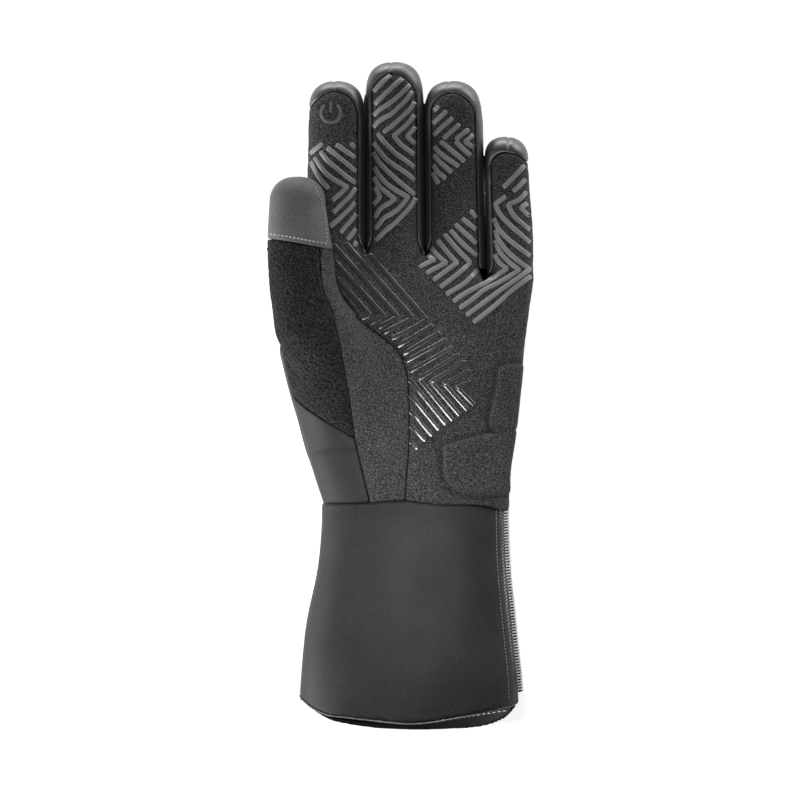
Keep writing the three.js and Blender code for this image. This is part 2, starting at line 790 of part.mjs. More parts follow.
for ( const [ name, { body, geometry, at, finish } ] of Object.entries( pieces ) ) {

	const mesh = new THREE.Mesh( geometry ?? geometryOf( body ), new THREE.MeshStandardMaterial( finish ) );
	mesh.name = name;
	if ( at ) mesh.position.copy( at );
	glove.add( mesh );

}

export default glove;
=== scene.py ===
"""Left-hand heated glove with a long zipped gauntlet, lying on its back with the palm up.

Every fabric panel is meshed from one distance field of the whole glove, in millimetres,
cut along its seams, so that neighbouring panels meet in rolled edges. Grip bars, stitches
and zip teeth are joined meshes laid on those panels.
"""

import functools
import math

import bpy
import numpy as np
import openvdb
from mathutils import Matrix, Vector
from mathutils.bvhtree import BVHTree


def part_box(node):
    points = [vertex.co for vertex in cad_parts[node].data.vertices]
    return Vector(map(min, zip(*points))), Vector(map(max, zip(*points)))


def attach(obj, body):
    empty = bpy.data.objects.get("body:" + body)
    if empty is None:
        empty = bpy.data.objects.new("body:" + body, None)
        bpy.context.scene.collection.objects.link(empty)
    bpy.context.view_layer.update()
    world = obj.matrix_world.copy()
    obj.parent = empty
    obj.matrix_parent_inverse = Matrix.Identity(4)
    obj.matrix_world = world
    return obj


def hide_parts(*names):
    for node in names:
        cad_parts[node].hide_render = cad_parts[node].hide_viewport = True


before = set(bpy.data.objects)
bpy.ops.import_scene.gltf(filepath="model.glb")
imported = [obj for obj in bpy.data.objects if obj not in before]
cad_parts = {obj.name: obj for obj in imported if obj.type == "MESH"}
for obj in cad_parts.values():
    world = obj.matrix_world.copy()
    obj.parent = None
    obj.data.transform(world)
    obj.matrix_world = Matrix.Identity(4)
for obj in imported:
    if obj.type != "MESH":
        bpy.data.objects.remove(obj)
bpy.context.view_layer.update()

MM = 0.001

# Driving dimensions of the glove in millimetres
HAND_WALL = 3.0
CUFF_WALL = 2.0
SEAM_GAP = 0.3
FINGER_GAP = 1.2
WRIST_Y = -51.0
KNUCKLE_Y = 75.0
HAND_LENGTH = KNUCKLE_Y - WRIST_Y
PALM_WIDTH = 113.5
PALM_THICKNESS = 38.0
SHARE_LEFT_OF_ORIGIN = 0.467
SOLE_PRESS = 1.2
FINGER_THICKNESS = 28.0
FINGER_THINNING = 0.16
FINGER_SQUARE = 2.3
FINGER_CURL = 5.0
FINGER_ROOT = 26.0
ROOT_SHARE = 0.7
ROOT_POWER = 1.5
ROOT_FLATNESS = 0.85
ROOT_INWARD = 0.2
THUMB_TIP_Y = 111.5
THUMB_WIDTH = 32.0
THUMB_THICKNESS = 28.5
THUMB_LIFT = 38.7
THUMB_SQUARE = 2.25
THUMB_CAP_SHARE = 0.40
HEEL_BRIDGE = 16.0
HEEL_BACK_SHARE = 0.36
CUFF_LENGTH = 110.0
CUFF_WRIST_THICKNESS = 41.0
CUFF_HEM_THICKNESS = 54.0
CUFF_SQUARE = 2.25
CUFF_OVERRUN = 1.5
BINDING = 0.8
FACING_WIDTH = 11.8
FACING_WALL = 1.0
FACING_SETBACK = 1.2
ZIP_TAPE_WIDTH = 7.5
ZIP_COIL_WIDTH = 3.2
ZIP_HEM_SETBACK = 15.0
COIL_RISE = 1.7
TOOTH_PITCH = 1.43
TOOTH_RADIUS = 0.5
HEM_Y = WRIST_Y - CUFF_LENGTH
HALF_GAP = SEAM_GAP / 2
COIL_HALF = ZIP_COIL_WIDTH / 2
TAPE_EDGE = COIL_HALF + 0.55 * ZIP_TAPE_WIDTH
COIL_END_Y = HEM_Y + ZIP_HEM_SETBACK

# Pads under the palm: their rise, the groove round them and the heights where both fade in
PAD_RISE = 2.4
PAD_EDGE = 0.7
PAD_FADE = (19, 9)
GROOVE_DEPTH = 1.8
GROOVE_AWAY = 1.3
GROOVE_WIDTH = 0.9
GROOVE_FADE = (21, 5)

# Raised silicone print
BAR_WIDTH = dict(index=2.4, middle=2.4, ring_tip=2.4, ring_root=2.4, little=2.4, palm=2.5)
BAR_RISE = 0.42
STEEPEST_BAR = 0.35
STEEPEST_STITCH = 0.15
BAR_SPACING = 1.1
MARK_CENTRE = (-40.5, 143.5)
MARK_RADIUS = 4.9
MARK_STROKE = 1.6
MARK_OPENING = 42
MARK_RISE = 0.12
MARK_SPACING = 0.6

# Rounding of panel edges and of the folds where two forms meet
EDGE_ROUND = 1.0
CLOSE_ROUND = 0.8
INNER_ROUND = 0.6
ZIP_ROUND = 0.5
SOLE_ROUND = 2.0
SOLE_INSIDE = 0.4
CROTCH_FOLD = 2.5
FINGER_FOLD = 4.0
THUMB_FOLD = 3.0
HEEL_FOLD = 9.0
THUMB_FOLD_Y = (15.0, 50.0)
THUMB_MARGIN = 1.0

# Seams between the fingers' fronts and their strips, and where neighbouring fingers touch
FINGER_TOUCH = 1.5
TOUCH_FADE = (9, 12)
TOUCH_SLANT = 0.1
TOUCH_LEVEL = 14
STRIP_OVERRUN = 1.5
RIM = 3.0
RIM_SHIFT = 1.0
RIM_GROWTH = 9.0
RIM_POWER = 0.7
OUTER_RIM_START = 0.62
OUTER_RIM_REACH = 0.3
SEAM_SLANT = 0.15
SEAM_LEVEL = 20
TICK_WIDTH = 0.55
TICK_LENGTH = 8
TICK_DEPTH = 0.6

# Unevenness of the cloths: (height, wavelength, seed)
WAVES = dict(
    palm=(0.22, 34.0, 5),
    pucker=(0.15, 6.0, 3),
    back=(0.2, 30.0, 9),
    loops=(0.34, 1.9, 21),
    tufts=(0.4, 6.0, 26),
    boucle=(0.2, 14.0, 22),
    cap=(0.12, 16.0, 23),
    gusset=(0.15, 24.0, 25),
    cuff=(0.55, 46.0, 31),
)
PUCKER_REACH = 4.0
TUFT_BASE = 0.6
WRIST_ROLL = 0.6
WRIST_ROLL_AWAY = 2
WRIST_ROLL_WIDTH = 5
WRIST_ROLL_FADE = (24, 10)

# Boxes of sample points: lowest corner, highest corner and step
PALM_BOX = ((-69, -58, 4), (64, 171, 46), 0.8)
BACK_BOX = ((-69, -58, -1), (64, 171, 30), 0.95)
THUMB_BOX = ((-76, -58, 17), (3, 114, 56), 0.62)
CUFF_BOX = ((-60, -167, -1), (58, -48, 57), 0.9)
BINDING_BOX = ((-60, -163, 22), (54, -144, 57), 0.5)
FACING_BOX = ((-55, -166, 1), (52, -140, 20), 0.5)
ZIP_BOX = ((36, -156, 8), (58, -50, 40), 0.5)
FINGER_STEP = 0.62

# Lines of stitches seen from above
CAP_HEM_STITCHES = ((-70, 82.3), (-63.5, 81.4), (-56, 79.9), (-48.5, 78.5), (-43, 77.7))
CAP_SIDE_STITCHES = ((-47.6, 105), (-45.4, 100), (-44.0, 95), (-42.9, 89), (-42.1, 79))
THUMB_STITCHES = ((-41.4, 74), (-40.6, 66), (-38.8, 58))
TAPE_LINE = ((44.7, -54), (45.2, -80), (46.8, -100), (48.7, -120), (50.6, -140), (51.0, -148))
CUFF_STITCH_AWAY = 2.7
HEM_STITCHES = ((16, -161.2), (22, -160.4), (32, -158.6), (40, -157.2), (46.5, -155.9))

FINGERS = (
    dict(name="index", cap=2.0, length=85.0, width=29.0, lean=0.02, slim=0.95, drop=0.0, outer=-1),
    dict(name="middle", cap=2.8, length=94.5, width=28.6, lean=-0.02, slim=1.0, drop=0.0, outer=0),
    dict(name="ring", cap=2.8, length=85.0, width=29.4, lean=-0.05, slim=0.95, drop=0.008, outer=0),
    dict(name="little", cap=4.5, length=57.0, width=23.6, lean=-0.11, slim=0.94, drop=0.111, outer=1),
)
TICKS = (-39.0, -10.5, 18.5, 48.5)
next_left = -SHARE_LEFT_OF_ORIGIN * PALM_WIDTH
for finger, tick in zip(FINGERS, TICKS):
    finger["tick"] = tick
    finger["left"] = next_left
    finger["right"] = next_left + finger["width"]
    finger["centre"] = next_left + finger["width"] / 2
    finger["tip"] = KNUCKLE_Y + finger["length"]
    finger["crotch"] = KNUCKLE_Y - finger["drop"] * HAND_LENGTH
    next_left = finger["right"] + FINGER_GAP
for finger, after in zip(FINGERS, FINGERS[1:] + FINGERS[-1:]):
    finger["foot"] = min(finger["crotch"], after["crotch"])

# Edges of the front and back hem seen from above
FRONT_HEM = (
    (-62.0, -145.0), (-56.5, -148.0), (-53.0, -151.4), (-43.5, -156.4), (-33.0, -157.8),
    (-21.0, -159.1), (-11.0, -160.2), (-1.0, -160.9), (8.0, -160.3), (18.7, -158.7),
    (34.7, -155.8), (44.0, -154.0), (50.6, -152.4), (60.0, -146.0),
)
BACK_HEM = (
    (-62.0, -142.9), (-54.0, -151.9), (-48.0, -156.9), (-41.0, -161.0), (-33.5, -163.0),
    (-21.0, -165.0), (-6.0, -166.0), (9.0, -166.1), (24.0, -165.5), (34.0, -164.5),
    (41.5, -162.5), (47.5, -159.0), (54.0, -150.9), (60.0, -144.9),
)

# Sections of the hand, as shares of the hand length, palm width and palm thickness
HAND_SECTIONS = dict(
    along=(-0.12, 0.0, 0.10, 0.24, 0.40, 0.53, 0.63, 0.74, 0.87, 1.0, 1.1),
    left=(-0.398, -0.398, -0.432, -0.479, -0.530, -0.567, -0.580, -0.540, -0.480, -0.463, -0.45),
    right=(0.424, 0.427, 0.428, 0.446, 0.469, 0.489, 0.499, 0.511, 0.522, 0.528, 0.53),
    high=(1.11, 1.09, 1.07, 1.05, 1.02, 0.99, 0.96, 0.89, 0.79, 0.64, 0.5),
    square=(2.3, 2.3, 2.35, 2.4, 2.5, 2.6, 2.7, 2.9, 3.3, 3.8, 4.0),
)
THUMB_SECTIONS = dict(
    along=(0.24, 0.42, 0.56, 0.64, 0.73, 0.84, 1.0, 1.18),
    left=(-0.400, -0.470, -0.540, -0.592, -0.612, -0.626, -0.638, -0.630),
    right=(-0.120, -0.130, -0.165, -0.200, -0.242, -0.316, -0.346, -0.377),
    low=(-1.12, -1.00, -0.90, -0.78, -0.64, -0.54, -0.50, -0.48),
    high=(-0.10, 0.17, 0.36, 0.44, 0.48, 0.50, 0.50, 0.48),
)
CUFF_SECTIONS = dict(
    along=(-0.10, 0.10, 0.21, 0.32, 0.48, 0.65, 0.81, 0.90, 1.12),
    left=(-0.396, -0.399, -0.412, -0.428, -0.451, -0.473, -0.495, -0.504, -0.504),
    right=(0.405, 0.408, 0.411, 0.417, 0.433, 0.449, 0.465, 0.470, 0.466),
)

# Seams seen from the palm side: (share of the palm width, share of the hand length)
GUSSET_SEAM = (
    (-0.033, -0.20), (-0.031, 0.008), (-0.013, 0.246), (-0.013, 0.405), (-0.022, 0.504),
    (-0.053, 0.583), (-0.097, 0.631), (-0.163, 0.675), (-0.242, 0.730), (-0.330, 0.800),
    (-0.800, 0.830),
)
THUMB_ROOT = ((0.80, 0.80), (-0.10, 0.78), (-0.242, 0.735), (-0.80, 0.56))
CAP_SEAM = ((-0.80, 1.068), (-0.626, 1.040), (-0.493, 1.020), (-0.361, 0.997), (0.80, 0.80))
GUSSET_EDGE = (
    (-0.430, 1.30), (-0.405, 1.0), (-0.390, 0.841), (-0.352, 0.755), (-0.332, 0.683),
    (-0.304, 0.563), (-0.273, 0.405), (-0.251, 0.254), (-0.229, 0.167), (-0.185, 0.0),
    (-0.150, -0.2),
)
PANEL_FOOT = (
    (-0.80, 0.53), (-0.542, 0.437), (-0.493, 0.393), (-0.405, 0.337), (-0.251, 0.254),
    (-0.04, 0.12),
)
WRIST_SEAM = (
    (-0.80, -0.004), (-0.185, 0.0), (-0.053, 0.008), (0.123, -0.008), (0.322, -0.016),
    (0.410, -0.036), (0.80, -0.040),
)
UPPER_PAD = (
    (0.520, 0.541), (0.430, 0.545), (0.391, 0.535), (0.375, 0.460), (0.353, 0.300),
    (0.520, 0.290),
)
LOWER_PAD = (
    (0.137, 0.215), (0.155, 0.085), (0.520, 0.080), (0.520, 0.282), (0.388, 0.278),
    (0.300, 0.262), (0.212, 0.240), (0.150, 0.225),
)

# Silicone grip bars as flat lists of x and y in millimetres, one list for each straight or
# bent bar
GRIP_BARS = {
    "index": (
        (-51, 123.5, -45, 128), (-30.5, 128, -27.5, 125.5),
        (-37.5, 127.5, -32.5, 124, -27.5, 120.5),
        (-42, 126, -38, 122.5, -32.5, 118, -27, 113.5),
        (-45.5, 124, -42, 119.5, -38, 116, -32.5, 111.5, -27, 108),
        (-48.5, 121, -45.5, 116.5, -41, 111.5, -37, 109, -32.5, 106.5),
        (-50.5, 119, -48, 114, -45.5, 110, -42, 106),
        (-27, 108, -30.5, 102.5, -35, 98, -39, 94), (-32.5, 106.5, -36, 103, -39.5, 100),
        (-26.5, 102, -30, 97, -35, 92, -40.5, 87), (-26, 96, -29, 91.5, -32.5, 87.5, -35.5, 84),
        (-25.5, 89.5, -28.5, 85, -32, 80.5), (-26.5, 81.5, -28.5, 77.5),
    ),
    "middle": (
        (-20, 153.5, -16, 157.5, -10, 163), (-19.5, 147, -15.5, 151, -10, 156, -4.5, 161),
        (-20, 141.5, -17, 144.5, -11, 148.5, -6, 152.5, -1, 157.5),
        (-20, 135.5, -18, 138, -14, 141, -11, 142.5, -7, 146, -3, 150, 0, 154),
        (-14, 134, -10, 137, -5, 141.5, -1, 145.5, 1.5, 149),
        (-9, 132, -5, 135.5, -1, 139.5, 2, 143.5), (-2.5, 132, 0.5, 135, 2.5, 138.5),
        (-2.5, 132, -0.5, 130, 2.5, 127.5), (-9, 132, -6, 128, -2, 125, 2.5, 122),
        (-17, 133, -13, 128, -8.5, 123.5, -3, 119.5, 2.5, 115.5),
        (-21, 131.5, -17, 125.5, -13, 120.5, -8.5, 117, -3, 113.5, 2.5, 109),
        (-20, 125, -16.5, 119, -12, 114, -7.5, 110, -2, 105.5, 2.5, 102),
        (-20, 118.5, -16.5, 112.5, -12, 107.5, -7.5, 104.5, -2, 101.5),
        (-19.5, 112.5, -16.5, 107, -12.5, 103.5, -8.5, 100.5),
        (-19.5, 107.5, -17.5, 104.5, -16, 101.5),
        (2.5, 102, -0.5, 97, -4.5, 92.5, -9, 88, -13.5, 84.5, -18, 80),
        (-2, 101.5, -5, 97.5, -9.5, 93.5, -14, 91, -18, 86),
        (-8.5, 100.5, -12, 98, -15.5, 96, -18.5, 91.5), (-16, 101.5, -19, 98),
    ),
    "ring_tip": (
        (9, 143, 13, 146.5), (9.5, 137.5, 13, 140.5, 17, 144),
        (10, 131.5, 14, 135.5, 20, 140.5), (16, 131, 23.5, 137.5), (22, 130.5, 28, 135),
        (26.5, 129, 30.5, 132.5), (26.5, 129, 32, 125.5), (22, 129, 25.5, 125.5, 29, 122.5),
        (14.5, 129, 20, 124.5, 26, 119.5), (9.5, 128.5, 14.5, 123, 23, 117),
        (10, 123.5, 14, 119, 19.5, 114), (10, 118.5, 13, 114, 16.5, 111),
        (10.5, 113.5, 13, 108.5),
    ),
    "ring_root": (
        (29.5, 94.5, 33, 90.5), (25.5, 90.5, 33, 84.5), (22, 87.5, 27.5, 82.5, 33, 77.5),
        (19.5, 84.5, 26, 77.5, 33.5, 71.5), (16.5, 82.5, 22.5, 75.5, 29, 69),
        (13, 79.5, 17.5, 74, 22.5, 68.5), (9.5, 76, 13, 72, 17, 68.5), (8, 72.5, 11, 70),
        (11, 70, 7.5, 68.5, 4, 66.5), (17, 68.5, 13, 66.5, 7.5, 63.5),
        (22.5, 68.5, 17, 64.5, 11, 60), (29, 68.5, 23, 63, 14.5, 56.5),
        (33.5, 66, 26.5, 58.5, 17.5, 53),
    ),
    "little": (
        (46, 106.5, 51, 111.5, 56, 117), (51, 104.5, 54.5, 108, 58.5, 112.5),
        (41.5, 98, 46.5, 101.5), (48, 97.5, 54, 100.5, 59, 106.5), (54.5, 96, 59.5, 100),
        (54.5, 96, 57, 93.5, 60, 91.5), (48, 97.5, 51, 92, 55.5, 88, 60, 84.5),
        (41.5, 98, 44, 93, 49, 87.5, 54, 83, 60, 78),
        (40.5, 92, 43, 86, 48, 80.5, 53, 76.5, 60, 71.5),
        (41, 86, 43.5, 80, 47.5, 74.5, 52.5, 70, 59, 65.5),
        (41.5, 79.5, 44, 74, 48, 69.5, 53.5, 65), (41, 74, 43, 69.5, 47.5, 65.5),
        (59.5, 62, 54, 58, 49.5, 54.5, 43, 48.5, 37, 43.5, 31, 39),
        (59, 65.5, 53, 61, 46.5, 56.5, 39, 51, 33, 46.5, 27.5, 42.5),
        (53.5, 65, 49, 62, 43, 58.5, 36, 55, 30.5, 50.5, 24, 46),
        (47.5, 65.5, 42.5, 62.5, 37.5, 59, 32.5, 56.5, 27, 53.5, 21, 49.5),
    ),
    "palm": (
        (-21.2, 72.8, 7.5, 40), (-33, 78.5, 0.5, 41), (-39, 77.5, -7, 41.5), (-39, 70, -14, 42),
        (-37.5, 61, -21, 42.5), (-35, 53, -28, 44.5), (-21, 42.5, -25.5, 40.5),
        (-14, 42, -21.5, 38), (-7, 41.5, -17, 36), (0.5, 41, -14, 33.5),
        (7.5, 40, -6, 32.5, -10.5, 30.5), (10, 37, -7.5, 26.5), (13.5, 33.5, -5, 22.5),
        (17, 30, -3.5, 19), (20, 26, -1.5, 14), (23, 22.5, 3.5, 10.5), (26.5, 19, 9.5, 9),
        (28.5, 14.5, 16, 8), (29, 9, 22.5, 6), (2.5, -24.5, -0.5, -20.5),
        (-1, -12.5, 6.5, -20.5), (-1, -5, 10, -18), (-1, 2.5, 13.5, -15), (-1, 10, 17, -12.5),
        (3.5, 10.5, 20.5, -10.5), (9.5, 9, 24, -8), (16, 8, 28, -5.5), (22.5, 6, 31.5, -3),
    ),
}

# Level seams: (share of the hand length, share of the palm thickness)
BACK_LEVEL = ((-0.5, 0.42), (0.8, 0.38), (1.0, 0.20), (1.8, 0.26))
THUMB_LEVEL = ((-0.5, 0.50), (0.4, 0.58), (0.72, 0.76), (0.84, 0.94), (1.0, 1.0), (1.4, 1.03))


def along_y(share):
    """The place along the glove at a share of the hand length."""
    return WRIST_Y + share * HAND_LENGTH


def plan(points):
    """Millimetres for points given as shares."""
    return np.array([(a * PALM_WIDTH, along_y(b)) for a, b in points], np.float64)


class Grid:
    """A box of sample points in millimetres."""

    def __init__(self, low, high, step):
        self.step = step
        self.low = np.array(low, np.float32)
        counts = np.ceil((np.array(high) - self.low) / step).astype(int) + 1
        axes = [self.low[i] + step * np.arange(counts[i], dtype=np.float32) for i in range(3)]
        self.x = axes[0][:, None, None]
        self.y = axes[1][None, :, None]
        self.z = axes[2][None, None, :]


def fade(value, start, reach):
    """Nought up to the start, rising to one over the reach."""
    return np.clip((value - start) / reach, 0, 1)


def smooth_min(a, b, k):
    """The lower of two fields, with a fold of width k where they meet."""
    h = np.clip(0.5 + 0.5 * (b - a) / k, 0.0, 1.0)
    return b * (1 - h) + a * h - k * h * (1 - h)


def smooth_max(a, b, k):
    return -smooth_min(-a, -b, k)


def cut(field, *regions, k=EDGE_ROUND):
    """The field inside every region, with rolled edges."""
    for region in regions:
        field = smooth_max(field, region, k)
    return field


def hermite(places, values, at):
    """A smooth curve through a table's values, level past both ends."""
    places = np.array(places, np.float64)
    values = np.array(values, np.float64)
    slopes = np.gradient(values, places)
    at = np.clip(at, places[0], places[-1])
    i = np.clip(np.searchsorted(places, at) - 1, 0, len(places) - 2)
    gap = places[i + 1] - places[i]
    t = (at - places[i]) / gap
    h00 = 2 * t**3 - 3 * t**2 + 1
    h10 = t**3 - 2 * t**2 + t
    h01 = -2 * t**3 + 3 * t**2
    h11 = t**3 - t**2
    out = h00 * values[i] + h10 * gap * slopes[i] + h01 * values[i + 1] + h11 * gap * slopes[i + 1]
    return out.astype(np.float32)


def distance(value, step):
    """A field rescaled by its own slope, so that it reads as millimetres near zero."""
    slopes = np.gradient(value, step)
    steep = np.sqrt(sum(slope * slope for slope in slopes))
    return np.clip(value / np.maximum(steep, 1e-4), -30, 30).astype(np.float32)


def rounded(grid, left, right, low, high, square, cap_start=None, cap_length=1.0):
    """A tube of rounded sections, each column given along y, with an optional round tip."""
    shape = grid.y.shape
    left, right, low, high, square = (
        np.broadcast_to(np.float32(a), shape) for a in (left, right, low, high, square)
    )
    u = np.abs(grid.x - (left + right) / 2) / ((right - left) / 2)
    v = np.abs(grid.z - (low + high) / 2) / ((high - low) / 2)
    total = u**square + v**square
    if cap_start is not None:
        total = total + (np.maximum(grid.y - cap_start, 0) / cap_length) ** square
    return distance(total ** (1 / square) - 1, grid.step)


def hand_field(grid):
    at = (grid.y - WRIST_Y) / HAND_LENGTH
    column = lambda name: hermite(HAND_SECTIONS["along"], HAND_SECTIONS[name], at)
    body = rounded(
        grid,
        column("left") * PALM_WIDTH,
        column("right") * PALM_WIDTH,
        -SOLE_PRESS,
        column("high") * PALM_THICKNESS,
        column("square"),
    )
    crotches = [(f["left"] - FINGER_GAP / 2, f["crotch"]) for f in FINGERS[1:]]
    line = np.interp(grid.x, *zip(*crotches))
    return smooth_max(body, (grid.y - line).astype(np.float32), CROTCH_FOLD)


def finger_field(grid, finger):
    y = grid.y
    half = finger["width"] / 2 * finger["slim"]
    cap_start = finger["tip"] - half
    t = np.clip((y - KNUCKLE_Y) / finger["length"], 0, 1)
    root = np.clip((finger["foot"] - y) / FINGER_ROOT, 0, 1)
    inward = finger["outer"] * ROOT_INWARD * root
    centre = finger["centre"] + (finger["lean"] * t - inward) * finger["width"]
    share = 1 - (1 - ROOT_SHARE) * root**ROOT_POWER
    width = finger["width"] / 2 * (1 + (finger["slim"] - 1) * t) * share
    touch = FINGER_TOUCH * fade(finger["tip"] - y, *TOUCH_FADE)
    left = centre - width - touch * (finger["outer"] >= 0)
    right = centre + width + touch * (finger["outer"] <= 0)
    full = FINGER_THICKNESS * (1 - FINGER_THINNING * t)
    thickness = full * share**ROOT_FLATNESS
    middle = FINGER_CURL * t * t + full / 2 - SOLE_PRESS * (1 - t)
    low, high = middle - thickness / 2, middle + thickness / 2
    body = rounded(grid, left, right, low, high, FINGER_SQUARE, cap_start, half)
    start = finger["foot"] - FINGER_ROOT
    return np.maximum(body, start - y)


def thumb_field(grid):
    at = (grid.y - WRIST_Y) / HAND_LENGTH
    column = lambda name: hermite(THUMB_SECTIONS["along"], THUMB_SECTIONS[name], at)
    cap = THUMB_WIDTH * THUMB_CAP_SHARE
    body = rounded(
        grid,
        column("left") * PALM_WIDTH,
        column("right") * PALM_WIDTH,
        THUMB_LIFT + column("low") * THUMB_THICKNESS,
        THUMB_LIFT + column("high") * THUMB_THICKNESS,
        THUMB_SQUARE,
        THUMB_TIP_Y - cap,
        cap,
    )
    return np.maximum(body, along_y(THUMB_SECTIONS["along"][0]) - grid.y)


def outline(points, spacing=1.5):
    """A smooth line through seam points, in steps of about the spacing."""
    points = np.array(points, np.float64)
    lengths = np.concatenate(([0], np.cumsum(np.hypot(*np.diff(points, axis=0).T))))
    at = np.linspace(0, lengths[-1], max(int(lengths[-1] / spacing), 2))
    return np.stack([hermite(lengths, points[:, i], at) for i in range(2)], 1).astype(np.float64)


def side_of(grid, points):
    """Signed distance in the plane of x and y: positive to the left of the line."""
    px = grid.x[:, :, 0] + 0 * grid.y[:, :, 0]
    py = grid.y[:, :, 0] + 0 * grid.x[:, :, 0]
    best = np.full(px.shape, 1e9)
    signed = np.zeros(px.shape)
    for a, b in zip(points[:-1], points[1:]):
        along = b - a
        length = max(np.hypot(*along), 1e-9)
        qx, qy = px - a[0], py - a[1]
        t = np.clip((qx * along[0] + qy * along[1]) / length**2, 0, 1)
        away = np.hypot(qx - t * along[0], qy - t * along[1])
        cross = (along[0] * qy - along[1] * qx) / length
        closer = away < best - 1e-9
        best = np.where(closer, away, best)
        signed = np.where(closer, np.where(cross >= 0, away, -away), signed)
    return signed[:, :, None].astype(np.float32)


def inside_of(grid, points):
    """Signed distance to a closed outline in the plane: negative inside."""
    loop = np.vstack([points, points[:1]])
    px = grid.x[:, :, 0] + 0 * grid.y[:, :, 0]
    py = grid.y[:, :, 0] + 0 * grid.x[:, :, 0]
    crossings = np.zeros(px.shape, int)
    for a, b in zip(loop[:-1], loop[1:]):
        if a[1] == b[1]:
            continue
        meets = (a[1] > py) != (b[1] > py)
        x_at = a[0] + (py - a[1]) / (b[1] - a[1]) * (b[0] - a[0])
        crossings += meets & (px < x_at)
    away = np.abs(side_of(grid, loop)[:, :, 0])
    return np.where(crossings % 2 == 1, -away, away)[:, :, None].astype(np.float32)


def level(grid, table):
    """The height of a level seam along the glove."""
    at = (grid.y - WRIST_Y) / HAND_LENGTH
    return (np.interp(at, *zip(*table)) * PALM_THICKNESS).astype(np.float32)


def ripple(grid, height, wavelength, seed):
    """Soft irregular waves of about the height."""
    rng = np.random.default_rng(seed)
    total = 0
    for _ in range(9):
        direction = rng.normal(size=3)
        direction /= np.linalg.norm(direction)
        wave = 2 * math.pi / (wavelength * rng.uniform(0.7, 1.5))
        phase = rng.uniform(0, 2 * math.pi)
        total = total + np.sin(
            wave * (direction[0] * grid.x + direction[1] * grid.y + direction[2] * grid.z) + phase
        )
    return height * (total / 3.0).astype(np.float32)


def mesh_of(name, field, grid, smoothing=1):
    """A closed quad mesh of the field's zero surface, in metres, its loose crumbs dropped."""
    volume = openvdb.FloatGrid(1.0)
    limit = 3 * grid.step
    padded = np.pad(np.clip(field, -limit, limit), 1, constant_values=limit)
    volume.copyFromArray(padded.astype(np.float32))
    points, quads = volume.convertToQuads(0.0)
    points = (points - 1) * grid.step + grid.low
    labels = components(len(points), quads)
    sizes = np.bincount(labels)
    keep = labels == sizes.argmax()
    order = np.cumsum(keep) - 1
    quads = order[quads[keep[quads[:, 0]]]]
    points = relax(points[keep], quads, smoothing)
    return mesh_object(name, points * MM, quads)


def components(count, quads):
    """A label for each point: the smallest index that its surface reaches."""
    labels = np.arange(count)
    while True:
        lowest = labels[quads].min(1)
        new = labels.copy()
        for i in range(4):
            np.minimum.at(new, quads[:, i], lowest)
        new = new[new]
        if (new == labels).all():
            return labels
        labels = new


def relax(points, quads, rounds):
    """Each point moves half way to the mean of its neighbours, then a little back out."""
    edges = np.vstack([quads[:, [i, (i + 1) % 4]] for i in range(4)])
    count = np.bincount(edges[:, 0], minlength=len(points))[:, None]
    for _ in range(rounds):
        for factor in (0.5, -0.52):
            total = np.zeros_like(points, dtype=np.float64)
            for axis in range(3):
                total[:, axis] = np.bincount(edges[:, 0], points[edges[:, 1], axis], len(points))
            points = points + factor * (total / np.maximum(count, 1) - points)
    return points


def mesh_object(name, points, faces):
    mesh = bpy.data.meshes.new(name)
    mesh.from_pydata([tuple(p) for p in points], [], [tuple(int(i) for i in f) for f in faces])
    mesh.update()
    mesh.polygons.foreach_set("use_smooth", [True] * len(mesh.polygons))
    made = bpy.data.objects.new(name, mesh)
    bpy.context.scene.collection.objects.link(made)
    return made


def shell_of(outer, wall, grid, tuck=0.0):
    """The wall inside an outer field, cut flat where the glove rests. The tuck draws the
    outer side in, such as along a seam."""
    resting = smooth_max(outer + tuck, -grid.z, SOLE_ROUND)
    inside = np.maximum(outer, SOLE_INSIDE - grid.z) + wall
    return smooth_max(resting, -inside, INNER_ROUND)


def nearest(*fields):
    """The lowest of the fields."""
    return functools.reduce(np.minimum, fields)


def tucked(away, depth=0.55, width=3.0):
    """How far padded fabric is drawn in at a distance from its seam."""
    return depth * np.exp(-((np.maximum(away, 0) / width) ** 2))


def hand_parts(grid):
    """Fields of the whole hand and of the thumb alone."""
    hand = hand_field(grid)
    outer = hand
    for finger in FINGERS:
        body = finger_field(grid, finger)
        outer = np.minimum(outer, smooth_min(hand, body, FINGER_FOLD))
    thumb = thumb_field(grid)
    fold = np.interp(grid.y, THUMB_FOLD_Y, (HEEL_FOLD, THUMB_FOLD)).astype(np.float32)
    outer = smooth_min(outer, thumb, fold)
    return outer, thumb


def seam(grid, table):
    """Signed distance to a seam that is given in shares."""
    return side_of(grid, outline(plan(table)))


def thumb_zones(grid, thumb):
    """Negative inside the thumb, inside the heel of the hand below it, and inside both."""
    root = seam(grid, THUMB_ROOT)
    gusset = seam(grid, GUSSET_SEAM)
    full = thumb - THUMB_MARGIN
    thumb_in = np.maximum(full, root)
    heel_in = np.maximum(-gusset, -root)
    bridge = nearest(HEEL_BRIDGE - np.abs(root), -full, gusset)
    return thumb_in, heel_in, nearest(thumb_in, heel_in, -bridge)


